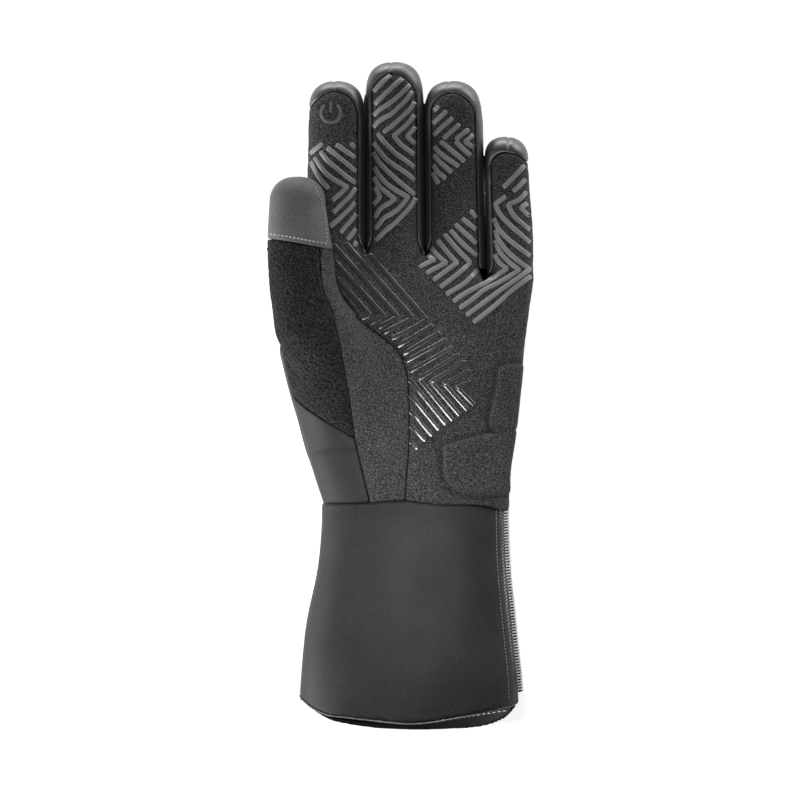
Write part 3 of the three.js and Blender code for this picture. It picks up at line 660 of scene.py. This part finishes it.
def strip_zone(grid, finger):
    """Negative in the sides and tip of a finger, which its strip covers."""
    order = FINGERS.index(finger)
    before = FINGERS[max(order - 1, 0)]
    after = FINGERS[min(order + 1, 3)]
    t = np.maximum(grid.y - KNUCKLE_Y, 0) / (finger["length"] + finger["width"])
    reach = FINGER_GAP / 2 + HALF_GAP
    slant = TOUCH_SLANT * (grid.z - TOUCH_LEVEL)
    own_lean = finger["lean"] * finger["width"]
    left = slant + finger["left"] - reach + t * (before["lean"] * before["width"] + own_lean) / 2
    right = slant + finger["right"] + reach + t * (after["lean"] * after["width"] + own_lean) / 2
    away = grid.x - finger["centre"]
    bottom = np.where(away > 0, after["crotch"], finger["crotch"]) - STRIP_OVERRUN
    zone = np.maximum(np.maximum(left - grid.x, grid.x - right), bottom - grid.y)
    rim = RIM * fade(grid.y, bottom, RIM_GROWTH) ** RIM_POWER
    if finger["outer"]:
        start = finger["tip"] - OUTER_RIM_START * finger["width"]
        growth = np.clip((grid.y - start) / (OUTER_RIM_REACH * finger["width"]), -0.6, 1)
        free = fade(away * finger["outer"], 0.0, 3.0)
        rim = rim * (1 - free) + RIM * growth * free
    rim = rim + SEAM_SLANT * (grid.z - SEAM_LEVEL) * (rim > 0)
    return np.maximum(zone, plan_inset(grid, finger) - rim).astype(np.float32)


def plan_inset(grid, finger):
    """How far inside the finger's outline a place is, seen from above, less at the tip."""
    t = np.clip((grid.y - KNUCKLE_Y) / finger["length"], 0, 1)
    half = finger["width"] / 2 * (1 + (finger["slim"] - 1) * t)
    away = grid.x - finger["centre"] - finger["lean"] * t * finger["width"]
    beyond = np.maximum(grid.y - finger["tip"] + half + finger["cap"], 0)
    return half - np.hypot(away + RIM_SHIFT * np.clip(beyond / half, 0, 1), beyond)


# Materials, with texture scales for each metre
CLOUD_SCALE = 45.0
SPECKLE_SCALE = 1500.0


def grey(value, tint=(1.0, 1.0, 1.02)):
    return tuple(value * t for t in tint) + (1.0,)


def fabric(name, shade, roughness, sheen, weave, mottle, speckle, gloss):
    """Cloth with soft uneven shade, and where given a weave of bumps and a fine speckle."""
    made = bpy.data.materials.new(name)
    made.use_nodes = True
    tree = made.node_tree
    tree.nodes.clear()
    new = tree.nodes.new
    link = tree.links.new
    out = new("ShaderNodeOutputMaterial")
    skin = new("ShaderNodeBsdfPrincipled")
    link(skin.outputs[0], out.inputs[0])
    place = new("ShaderNodeTexCoord")
    cloud = new("ShaderNodeTexNoise")
    cloud.inputs["Scale"].default_value = CLOUD_SCALE
    cloud.inputs["Detail"].default_value = 4.0
    link(place.outputs["Object"], cloud.inputs["Vector"])
    ramp = new("ShaderNodeMapRange")
    ramp.inputs["From Min"].default_value = 0.3
    ramp.inputs["From Max"].default_value = 0.7
    ramp.inputs["To Min"].default_value = 1.0 - mottle
    ramp.inputs["To Max"].default_value = 1.0 + mottle
    link(cloud.outputs["Fac"], ramp.inputs["Value"])
    factor = ramp.outputs[0]
    if speckle:
        dots = new("ShaderNodeTexNoise")
        dots.inputs["Scale"].default_value = SPECKLE_SCALE
        dots.inputs["Detail"].default_value = 2.0
        link(place.outputs["Object"], dots.inputs["Vector"])
        spread = new("ShaderNodeMapRange")
        spread.inputs["From Min"].default_value = 0.42
        spread.inputs["From Max"].default_value = 0.66
        spread.inputs["To Min"].default_value = 1.0 - 0.6 * speckle
        spread.inputs["To Max"].default_value = 1.0 + 2.2 * speckle
        link(dots.outputs["Fac"], spread.inputs["Value"])
        both = new("ShaderNodeMath")
        both.operation = "MULTIPLY"
        link(factor, both.inputs[0])
        link(spread.outputs[0], both.inputs[1])
        factor = both.outputs[0]
    tone = new("ShaderNodeVectorMath")
    tone.operation = "SCALE"
    tone.inputs[0].default_value = grey(shade)[:3]
    link(factor, tone.inputs["Scale"])
    link(tone.outputs[0], skin.inputs["Base Color"])
    skin.inputs["Roughness"].default_value = roughness
    skin.inputs["Specular IOR Level"].default_value = gloss
    skin.inputs["Sheen Weight"].default_value = sheen
    skin.inputs["Sheen Roughness"].default_value = 0.5
    if weave:
        scale, height = weave
        thread = new("ShaderNodeTexNoise")
        thread.inputs["Scale"].default_value = scale
        thread.inputs["Detail"].default_value = 3.0
        link(place.outputs["Object"], thread.inputs["Vector"])
        bump = new("ShaderNodeBump")
        bump.inputs["Strength"].default_value = 1.0
        bump.inputs["Distance"].default_value = height
        link(thread.outputs["Fac"], bump.inputs["Height"])
        link(bump.outputs[0], skin.inputs["Normal"])
    return made


# Cloths and threads: shade, roughness, sheen, weave (scale for each metre, height in metres),
# mottle, speckle and gloss
FABRICS = dict(
    palm_suede=(0.024, 0.9, 0.04, (1400, 0.0004), 0.12, 0.9, 0.1),
    softshell=(0.030, 0.6, 0.03, (1800, 0.0001), 0.08, 0.0, 0.2),
    finger_strip=(0.018, 0.45, 0.0, (1800, 0.00006), 0.05, 0.0, 1.0),
    thumb_cap=(0.070, 0.6, 0.06, (1700, 0.0001), 0.10, 0.15, 0.2),
    boucle=(0.0075, 0.95, 0.06, (700, 0.0016), 0.2, 1.3, 0.1),
    gusset=(0.026, 0.85, 0.04, (1300, 0.0004), 0.10, 0.8, 0.1),
    side_panel=(0.0135, 0.6, 0.03, (1800, 0.00008), 0.06, 0.1, 0.2),
    cuff_softshell=(0.010, 0.6, 0.0, (1500, 0.00012), 0.22, 0.3, 0.25),
    # hem_binding: the binding strip is real, its light grey is a painted highlight along the rounded
    # front hem edge.
    hem_binding=(0.14, 0.6, 0.0, (1800, 0.0001), 0.1, 0.0, 0.2),
    facing=(0.012, 0.7, 0.0, (1500, 0.0001), 0.1, 0.0, 0.2),
    zip_tape=(0.05, 0.7, 0.0, (1500, 0.0002), 0.1, 0.0, 0.2),
    zip_coil=(0.012, 0.35, 0.0, None, 0.1, 0.0, 0.2),
    zip_slider=(0.02, 0.3, 0.0, None, 0.05, 0.0, 0.2),
    # The finger bars are the same black silicone as the palm bars, painted a lighter grey: a painted
    # highlight for the light the finger bars catch.
    finger_grip_painted_lit=(0.15, 0.36, 0.0, (900, 0.00003), 0.1, 0.0, 0.5),
    grip_palm=(0.030, 0.2, 0.0, (500, 0.00008), 0.3, 0.0, 0.8),
    print=(0.09, 0.5, 0.0, None, 0.1, 0.0, 0.2),
    thread=(0.26, 0.6, 0.0, None, 0.15, 0.0, 0.2),
    dark_thread=(0.05, 0.6, 0.0, None, 0.15, 0.0, 0.2),
    white_thread=(0.55, 0.5, 0.0, None, 0.15, 0.0, 0.2),
    tape_thread=(0.3, 0.55, 0.0, None, 0.15, 0.0, 0.2),
    tooth=(0.5, 0.3, 0.0, None, 0.15, 0.0, 0.5),
)
LOOKS = {name: fabric(name, *values) for name, values in FABRICS.items()}


# Every piece's cloth, keyed by the node it stands for
cloth = {}


def piece(name, slot, field, grid, smoothing, look=None):
    made = mesh_of(name + "_cloth", field, grid, smoothing)
    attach(made, "root")
    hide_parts(name)
    made.data.materials.append(LOOKS[look or slot])
    cloth[name] = made


def palm_panel():
    """The palm and the fronts of the fingers, with two pads under the fabric."""
    grid = Grid(*PALM_BOX)
    outer, thumb = hand_parts(grid)
    _, _, thumb_side = thumb_zones(grid, thumb)
    strips = nearest(*(strip_zone(grid, finger) for finger in FINGERS))
    wrist = seam(grid, WRIST_SEAM)
    beside = np.minimum(thumb_side, strips)
    over_back = grid.z - level(grid, BACK_LEVEL)
    upper = inside_of(grid, outline(plan(UPPER_PAD)))
    lower = inside_of(grid, outline(plan(LOWER_PAD)))
    pad = np.minimum(upper, lower)
    pads = PAD_RISE * (0.5 - 0.5 * np.tanh(pad / PAD_EDGE)) * fade(grid.z, *PAD_FADE)
    groove = GROOVE_DEPTH * np.exp(-((pad - GROOVE_AWAY) / GROOVE_WIDTH) ** 2)
    groove = groove * fade(grid.z, *GROOVE_FADE)
    near = nearest(beside, over_back, wrist)
    pucker = ripple(grid, *WAVES["pucker"]) * np.exp(-np.maximum(near, 0) / PUCKER_REACH)
    wave = ripple(grid, *WAVES["palm"])
    panel = cut(
        shell_of(outer, HAND_WALL, grid, tucked(near, 0.5, 2.2) - pads + groove + pucker + wave),
        HALF_GAP - beside,
        HALF_GAP - over_back,
        HALF_GAP - wrist,
        k=CLOSE_ROUND,
    )
    piece("palm_panel", "palm_suede", panel, grid, 2)


def back_panel():
    """The back of the hand and of the fingers, from the wrist to the fingertips."""
    grid = Grid(*BACK_BOX)
    outer, thumb = hand_parts(grid)
    thumb_in, heel_in, _ = thumb_zones(grid, thumb)
    wrist = seam(grid, WRIST_SEAM)
    under_back = level(grid, BACK_LEVEL) - grid.z
    heel_low = np.maximum(heel_in, grid.z - level(grid, THUMB_LEVEL))
    heel_back = np.maximum(heel_low, grid.x + HEEL_BACK_SHARE * PALM_WIDTH)
    within = np.maximum(under_back, -heel_back)
    near = nearest(thumb_in, wrist, within)
    panel = cut(
        shell_of(outer, HAND_WALL, grid, tucked(near) + ripple(grid, *WAVES["back"])),
        HALF_GAP - thumb_in,
        HALF_GAP - wrist,
        HALF_GAP - within,
    )
    piece("back_panel", "softshell", panel, grid, 2)


def finger_strip(finger):
    """The sides and tip of a finger, with a short seam tick at the middle of the tip."""
    half = finger["width"] / 2
    grid = Grid(
        (finger["centre"] - half - 3, finger["crotch"] - 8, 4),
        (finger["centre"] + half + 3, finger["tip"] + 1.5, 28),
        FINGER_STEP,
    )
    outer, _ = hand_parts(grid)
    zone = -strip_zone(grid, finger)
    over_back = grid.z - level(grid, BACK_LEVEL)
    tick = np.exp(-(((grid.x - finger["tick"]) / TICK_WIDTH) ** 2))
    tick = tick * np.clip(grid.y - finger["tip"] + TICK_LENGTH, 0, 1)
    tuck = tucked(np.minimum(zone, over_back), 0.4, 2.0) + TICK_DEPTH * tick
    panel = cut(shell_of(outer, HAND_WALL, grid, tuck), HALF_GAP - zone, HALF_GAP - over_back)
    piece(finger["name"] + "_strip", "finger_strip", panel, grid, 2)


def thumb_and_heel():
    """The thumb and the heel of the hand, as five panels cut from one grid."""
    grid = Grid(*THUMB_BOX)
    outer, thumb = hand_parts(grid)
    thumb_in, _, either = thumb_zones(grid, thumb)
    wrist = seam(grid, WRIST_SEAM)
    cap_seam = seam(grid, CAP_SEAM)
    edge = seam(grid, GUSSET_EDGE)
    foot = seam(grid, PANEL_FOOT)
    within = -either
    over_seam = grid.z - level(grid, THUMB_LEVEL)

    def panel(name, slot, *sides, waves=0.0):
        near = nearest(within, wrist, *sides)
        field = cut(
            shell_of(outer, HAND_WALL, grid, tucked(near) + waves),
            *(HALF_GAP - side for side in (within, wrist, *sides)),
            k=CLOSE_ROUND,
        )
        piece(name, slot, field, grid, 1)

    loops = ripple(grid, *WAVES["loops"]) * (TUFT_BASE + ripple(grid, *WAVES["tufts"]))
    loops = loops + ripple(grid, *WAVES["boucle"])
    panel("thumb_cap", "thumb_cap", cap_seam, -thumb_in, waves=ripple(grid, *WAVES["cap"]))
    panel("thumb_panel", "boucle", over_seam, -cap_seam, -edge, foot, waves=loops)
    panel("side_panel", "side_panel", over_seam, -edge, -foot)
    panel("thumb_gusset", "gusset", over_seam, -cap_seam, edge, waves=ripple(grid, *WAVES["gusset"]))
    panel("thumb_back", "softshell", -over_seam, -cap_seam, -thumb_in)


def cuff_field(grid):
    at = (WRIST_Y - grid.y) / CUFF_LENGTH
    column = lambda name: hermite(CUFF_SECTIONS["along"], CUFF_SECTIONS[name], at)
    high = CUFF_WRIST_THICKNESS + (CUFF_HEM_THICKNESS - CUFF_WRIST_THICKNESS) * at
    left, right = column("left") * PALM_WIDTH, column("right") * PALM_WIDTH
    return rounded(grid, left, right, -SOLE_PRESS, high, CUFF_SQUARE)


def above_hem(grid, line, shift=0.0):
    """Positive above a hem line moved along y."""
    places, heights = zip(*line)
    return grid.y - shift - hermite(places, heights, grid.x)


def zip_middle(y):
    """The height of the cuff's mid line, on which the zip runs."""
    return np.interp(y, (HEM_Y, WRIST_Y), (CUFF_HEM_THICKNESS / 2, CUFF_WRIST_THICKNESS / 2))


def over_middle(grid):
    return grid.z - zip_middle(grid.y).astype(np.float32)


def side_of_zip(grid, height):
    """Positive on one side of the mid line, past the zip tape where the zip runs."""
    return np.minimum(height, np.maximum(height - TAPE_EDGE, -grid.x))


def cuff():
    """The front and the back half of the gauntlet."""
    grid = Grid(*CUFF_BOX)
    outer = cuff_field(grid)
    wrist = -seam(grid, WRIST_SEAM)
    height = over_middle(grid)
    roll = WRIST_ROLL * np.exp(-((wrist - WRIST_ROLL_AWAY) / WRIST_ROLL_WIDTH) ** 2)
    sag = ripple(grid, *WAVES["cuff"]) + roll * fade(grid.z, *WRIST_ROLL_FADE)
    sag = sag + np.clip(0.6 - wrist, 0, 1)
    halves = (
        ("cuff_front", side_of_zip(grid, height), above_hem(grid, FRONT_HEM, BINDING)),
        ("cuff_back", side_of_zip(grid, -height), above_hem(grid, BACK_HEM)),
    )
    for name, side, hem in halves:
        shell = shell_of(outer, CUFF_WALL, grid, sag + tucked(side, 0.3, 2.0))
        field = cut(shell, -CUFF_OVERRUN - wrist, HALF_GAP - side, -hem, k=CLOSE_ROUND)
        piece(name, "cuff_softshell", field, grid, 2)


def hem_binding():
    """The edge of the front hem: a real binding strip whose light grey is a painted highlight along
    its rounded edge.
    """
    grid = Grid(*BINDING_BOX)
    shell = shell_of(cuff_field(grid) - 0.1, CUFF_WALL, grid)
    side = side_of_zip(grid, over_middle(grid))
    hem = above_hem(grid, FRONT_HEM)
    field = cut(shell, HALF_GAP - side, -hem, hem - BINDING, k=CLOSE_ROUND)
    piece("front_hem_binding", "hem_binding", field, grid, 1)


def hem_facing():
    """The band inside the back hem."""
    grid = Grid(*FACING_BOX)
    outer = cuff_field(grid) + CUFF_WALL + SEAM_GAP
    hem = above_hem(grid, BACK_HEM, FACING_SETBACK)
    field = cut(
        np.maximum(outer, -(outer + FACING_WALL)),
        hem - FACING_WIDTH,
        -hem,
        over_middle(grid) + TAPE_EDGE + SEAM_GAP,
        k=ZIP_ROUND,
    )
    piece("hem_facing", "hem_binding", field, grid, 1, "facing")


def zip_cloth():
    """The two tapes and the coil between them."""
    grid = Grid(*ZIP_BOX)
    outer = cuff_field(grid)
    wrist = -seam(grid, WRIST_SEAM)
    height = over_middle(grid)
    hem = above_hem(grid, FRONT_HEM)
    shell = shell_of(outer, CUFF_WALL, grid)
    for name, side in (("zip_tape_front", height), ("zip_tape_back", -height)):
        inner, outside = COIL_HALF + HALF_GAP - side, side - TAPE_EDGE + HALF_GAP
        field = cut(shell, -CUFF_OVERRUN - wrist, -hem, inner, outside, -grid.x, k=ZIP_ROUND)
        piece(name, "zip_tape", field, grid, 1)
    core = smooth_max(outer - COIL_RISE, -(outer + CUFF_WALL), ZIP_ROUND)
    within = np.abs(height) - COIL_HALF
    field = cut(core, HALF_GAP - wrist, within, COIL_END_Y - grid.y, -grid.x, k=CLOSE_ROUND)
    piece("zip_coil", "zip_coil", field, grid, 1)


def zip_slider():
    """One plain rounded piece in the slider's box."""
    low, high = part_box("zip_slider")
    bpy.ops.mesh.primitive_cube_add(size=1, location=[(a + b) / 2 for a, b in zip(low, high)])
    slider = bpy.context.object
    slider.name = "zip_slider_body"
    slider.scale = [b - a for a, b in zip(low, high)]
    bpy.ops.object.transform_apply(location=False, rotation=False, scale=True)
    bevel = slider.modifiers.new("round", "BEVEL")
    bevel.width = 0.5 * MM
    bevel.segments = 3
    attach(slider, "root")
    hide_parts("zip_slider")
    slider.data.materials.append(LOOKS["zip_slider"])


# Bars, stitches and prints laid on a panel
def surface_of(made):
    """A lookup of the panel's upper side: (height, upward normal) over a point, in mm."""
    mesh = made.data
    points = np.empty(len(mesh.vertices) * 3)
    mesh.vertices.foreach_get("co", points)
    points = points.reshape(-1, 3) / MM
    faces = [tuple(f.vertices) for f in mesh.polygons]
    tree = BVHTree.FromPolygons([tuple(p) for p in points], faces)

    def over(x, y):
        hit, normal, _, _ = tree.ray_cast(Vector((x, y, 80)), Vector((0, 0, -1)))
        return (hit.z, normal) if hit else (None, None)

    return over


def smooth_line(points, spacing):
    """A smooth line through flat or paired points, evenly resampled."""
    points = np.array(points, np.float64).reshape(-1, 2)
    lengths = np.concatenate(([0], np.cumsum(np.hypot(*np.diff(points, axis=0).T))))
    count = max(int(round(lengths[-1] / spacing)), 1) + 1
    at = np.linspace(0, lengths[-1], count)
    return np.stack([hermite(lengths, points[:, i], at) for i in range(2)], 1).astype(np.float64)


class Heap:
    """Points and faces of many small solids that become one mesh."""

    def __init__(self):
        self.points = []
        self.faces = []

    def tube(self, rings):
        """A closed solid through rings of points."""
        start = len(self.points)
        sides = len(rings[0])
        for ring in rings:
            self.points.extend(ring)
        for i in range(len(rings) - 1):
            for j in range(sides):
                a = start + i * sides + j
                b = start + i * sides + (j + 1) % sides
                self.faces.append((a, a + sides, b + sides, b))
        self.faces.append(tuple(start + j for j in range(sides)))
        last = start + (len(rings) - 1) * sides
        self.faces.append(tuple(last + j for j in range(sides))[::-1])

    def build(self, name, look):
        made = mesh_object(name, np.array(self.points) * MM, self.faces)
        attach(made, "root")
        made.data.materials.append(LOOKS[look])
        return made


def dome_strip(heap, over, points, width, rise, spacing):
    """A low rounded bar on the panel along a line of the plan."""
    line = smooth_line(points, spacing)
    ahead = np.gradient(line, axis=0)
    ahead /= np.hypot(*ahead.T)[:, None]
    aside = np.stack([-ahead[:, 1], ahead[:, 0]], 1)
    profile = [(-0.5, -0.25), (-0.46, 0.6), (-0.34, 0.97), (0.34, 0.97), (0.46, 0.6), (0.5, -0.25)]
    stations = [(0, -0.25, 0.6, 0.1), (0, -0.1, 0.86, 0.8)]
    stations += [(i, 0, 1, 1) for i in range(len(line))]
    stations += [(-1, 0.1, 0.86, 0.8), (-1, 0.25, 0.6, 0.1)]
    rings = []
    for i, beyond, broad, tall in stations:
        centre = line[i] + ahead[i] * beyond * width
        middle, facing = over(*centre)
        if middle is None or facing.z < STEEPEST_BAR:
            continue
        ring = []
        for share, height in profile:
            place = centre + aside[i] * share * width * broad
            level_here, _ = over(*place)
            if level_here is None or abs(level_here - middle) > 2.0:
                level_here = middle
            lift = height * rise * (tall if height > 0 else 1)
            ring.append((place[0], place[1], level_here + lift))
        rings.append(ring)
    if len(rings) > 2:
        heap.tube(rings)


def capsule(heap, ends, radius, sides=6):
    """A short thread between two points, in mm, as a closed rounded solid."""
    a, b = (np.array(end, np.float64) for end in ends)
    ahead = (b - a) / max(np.linalg.norm(b - a), 1e-9)
    aside = np.cross(ahead, (0, 0, 1))
    aside /= max(np.linalg.norm(aside), 1e-9)
    upward = np.cross(aside, ahead)
    rings = []
    for t, share in ((0, 0.25), (0.12, 0.85), (0.5, 1.0), (0.88, 0.85), (1, 0.25)):
        middle = a + (b - a) * t
        turn = [2 * math.pi * i / sides for i in range(sides)]
        rings.append([
            tuple(middle + share * radius * (aside * math.cos(w) + upward * math.sin(w)))
            for w in turn
        ])
    heap.tube(rings)


def stitches(heap, over, points, pitch, length, radius, lift=0.12, slant=0.0):
    """Threads laid along a line of the plan at an even pitch, turned by the slant."""
    line = smooth_line(points, pitch)
    ahead = np.gradient(line, axis=0)
    ahead /= np.hypot(*ahead.T)[:, None]
    cos, sin = math.cos(math.radians(slant)), math.sin(math.radians(slant))
    for place, way in zip(line, ahead):
        turned = np.array([way[0] * cos - way[1] * sin, way[0] * sin + way[1] * cos])
        ends = []
        for reach in (-0.5, 0.5):
            x, y = place + turned * reach * length
            z, facing = over(x, y)
            if z is None or facing.z < STEEPEST_STITCH:
                break
            ends.append((x, y, z + lift))
        if len(ends) == 2 and abs(ends[0][2] - ends[1][2]) < 2.5:
            capsule(heap, ends, radius)


def sewn(name, node, slot, look, *rows):
    """One mesh of stitches on a node's cloth, a row for each line of them."""
    heap = Heap()
    over = surface_of(cloth[node])
    for row in rows:
        stitches(heap, over, *row)
    heap.build(name, look)


def grip_bars(over):
    """The silicone bars, one mesh for each finger and one for the palm."""
    for name, lines in GRIP_BARS.items():
        heap = Heap()
        for line in lines:
            dome_strip(heap, over, line, BAR_WIDTH[name], BAR_RISE, BAR_SPACING)
        # The finger bars take a lighter copy of the palm bars' black silicone, its grey a painted
        # highlight.
        heap.build("grip_" + name, "grip_palm" if name == "palm" else "finger_grip_painted_lit")


def touch_mark(over):
    """The printed power symbol on the index fingertip: an open ring and a stem."""
    heap = Heap()
    centre = np.array(MARK_CENTRE)
    turn = np.radians(np.linspace(90 + MARK_OPENING, 450 - MARK_OPENING, 25))
    arc = centre + MARK_RADIUS * np.stack([np.cos(turn), np.sin(turn)], 1)
    stem = [centre + (0, 0.1 * MARK_RADIUS), centre + (0, 1.05 * MARK_RADIUS)]
    for line in (arc, stem):
        dome_strip(heap, over, line, MARK_STROKE, MARK_RISE, MARK_SPACING)
    heap.build("touch_mark", "print")


def zip_teeth():
    """Two rows of teeth over the coil, half a pitch apart."""
    heap = Heap()
    y = WRIST_Y - 3.5
    while y > COIL_END_Y + 0.6:
        at = np.array((WRIST_Y - y) / CUFF_LENGTH)
        right = float(hermite(CUFF_SECTIONS["along"], CUFF_SECTIONS["right"], at)) * PALM_WIDTH
        middle = zip_middle(y)
        for side in (1, -1):
            here = y - (0 if side > 0 else TOOTH_PITCH / 2)
            root = (right - 0.4, here - 0.2, middle + side * (COIL_HALF + 0.2))
            tip = (right + 2.5, here + 0.2, middle + side * 0.5)
            capsule(heap, (root, tip), TOOTH_RADIUS)
        y -= TOOTH_PITCH
    heap.build("zip_teeth", "tooth")


# Panels, in the order in which they are made
palm_panel()
back_panel()
for finger in FINGERS:
    finger_strip(finger)
thumb_and_heel()
cuff()
hem_binding()
hem_facing()
zip_cloth()
zip_slider()

# Prints, threads and teeth. A row of stitches has its line, pitch, length, radius, lift and slant
over_palm = surface_of(cloth["palm_panel"])
grip_bars(over_palm)
touch_mark(over_palm)
cuff_line = [(x - CUFF_STITCH_AWAY, y) for x, y in TAPE_LINE]
sewn(
    "cap_stitches", "thumb_cap", "thumb_cap", "thread",
    (CAP_HEM_STITCHES, 1.9, 1.3, 0.42), (CAP_SIDE_STITCHES, 1.9, 1.3, 0.34),
)
sewn("thumb_stitches", "thumb_gusset", "gusset", "dark_thread", (THUMB_STITCHES, 2.1, 1.2, 0.3))
zip_teeth()
sewn("tape_weave", "zip_tape_front", "zip_tape", "tape_thread", (TAPE_LINE, 1.7, 2.4, 0.36, 0.05, -38))
sewn("edge_stitches", "cuff_front", "cuff_softshell", "thread", (cuff_line, 1.7, 1.1, 0.16, 0.05))
sewn("hem_stitches", "hem_facing", "hem_binding", "white_thread", (HEM_STITCHES, 2.6, 1.9, 0.3, 0.15))

# Table, lights and camera. A light has its name, place, target, size and power
TABLE_SIZE = 40
TABLE_Z = -0.0004
TABLE_GLOW = 0.75
WORLD_LIGHT = 0.06
CAMERA_PLACE = (-0.006, 0, 3.0)
CAMERA_LENS = 267.75
LIGHTS = (
    ("top_low", (-0.15, 1.0, 0.07), (0, 0.05, 0.02), (1.0, 0.12), 10),
    ("left", (-0.8, -0.22, 0.13), (0, -0.12, 0.02), (0.2, 0.5), 13),
    ("upper_right", (0.62, 0.63, 0.22), (0.02, 0.0, 0.02), (0.6, 0.2), 5),
    ("overhead", (0.0, -0.045, 0.21), (0, -0.03, 0), (0.1, 0.06), 0.42),
)
bpy.ops.mesh.primitive_plane_add(size=TABLE_SIZE, location=(0, 0, TABLE_Z))
table = bpy.context.object
table.name = "table"
table.data.materials.append(fabric("table_white", 0.9, 0.8, 0.0, None, 0.0, 0.0, 0.2))
lit = table.data.materials[0].node_tree.nodes["Principled BSDF"]
lit.inputs["Emission Color"].default_value = (1, 1, 1, 1)
lit.inputs["Emission Strength"].default_value = TABLE_GLOW


def softbox(name, place, target, size, power):
    """A rectangular lamp aimed at a place on the glove, in metres and watts."""
    data = bpy.data.lights.new(name, "AREA")
    data.shape = "RECTANGLE"
    data.size, data.size_y = size
    data.energy = power
    made = bpy.data.objects.new(name, data)
    bpy.context.scene.collection.objects.link(made)
    made.location = place
    made.rotation_euler = (Vector(target) - Vector(place)).to_track_quat("-Z", "Y").to_euler()


for light in LIGHTS:
    softbox(*light)
world = bpy.context.scene.world or bpy.data.worlds.new("studio")
bpy.context.scene.world = world
world.use_nodes = True
world.node_tree.nodes["Background"].inputs[0].default_value = (1, 1, 1, 1)
world.node_tree.nodes["Background"].inputs[1].default_value = WORLD_LIGHT

lens = bpy.data.cameras.new("camera")
lens.sensor_width = 36
lens.lens = CAMERA_LENS
camera = bpy.data.objects.new("camera", lens)
bpy.context.scene.collection.objects.link(camera)
camera.location = CAMERA_PLACE
camera.rotation_euler = (0, 0, 0)
bpy.context.scene.camera = camera
bpy.context.scene.view_settings.view_transform = "Standard"

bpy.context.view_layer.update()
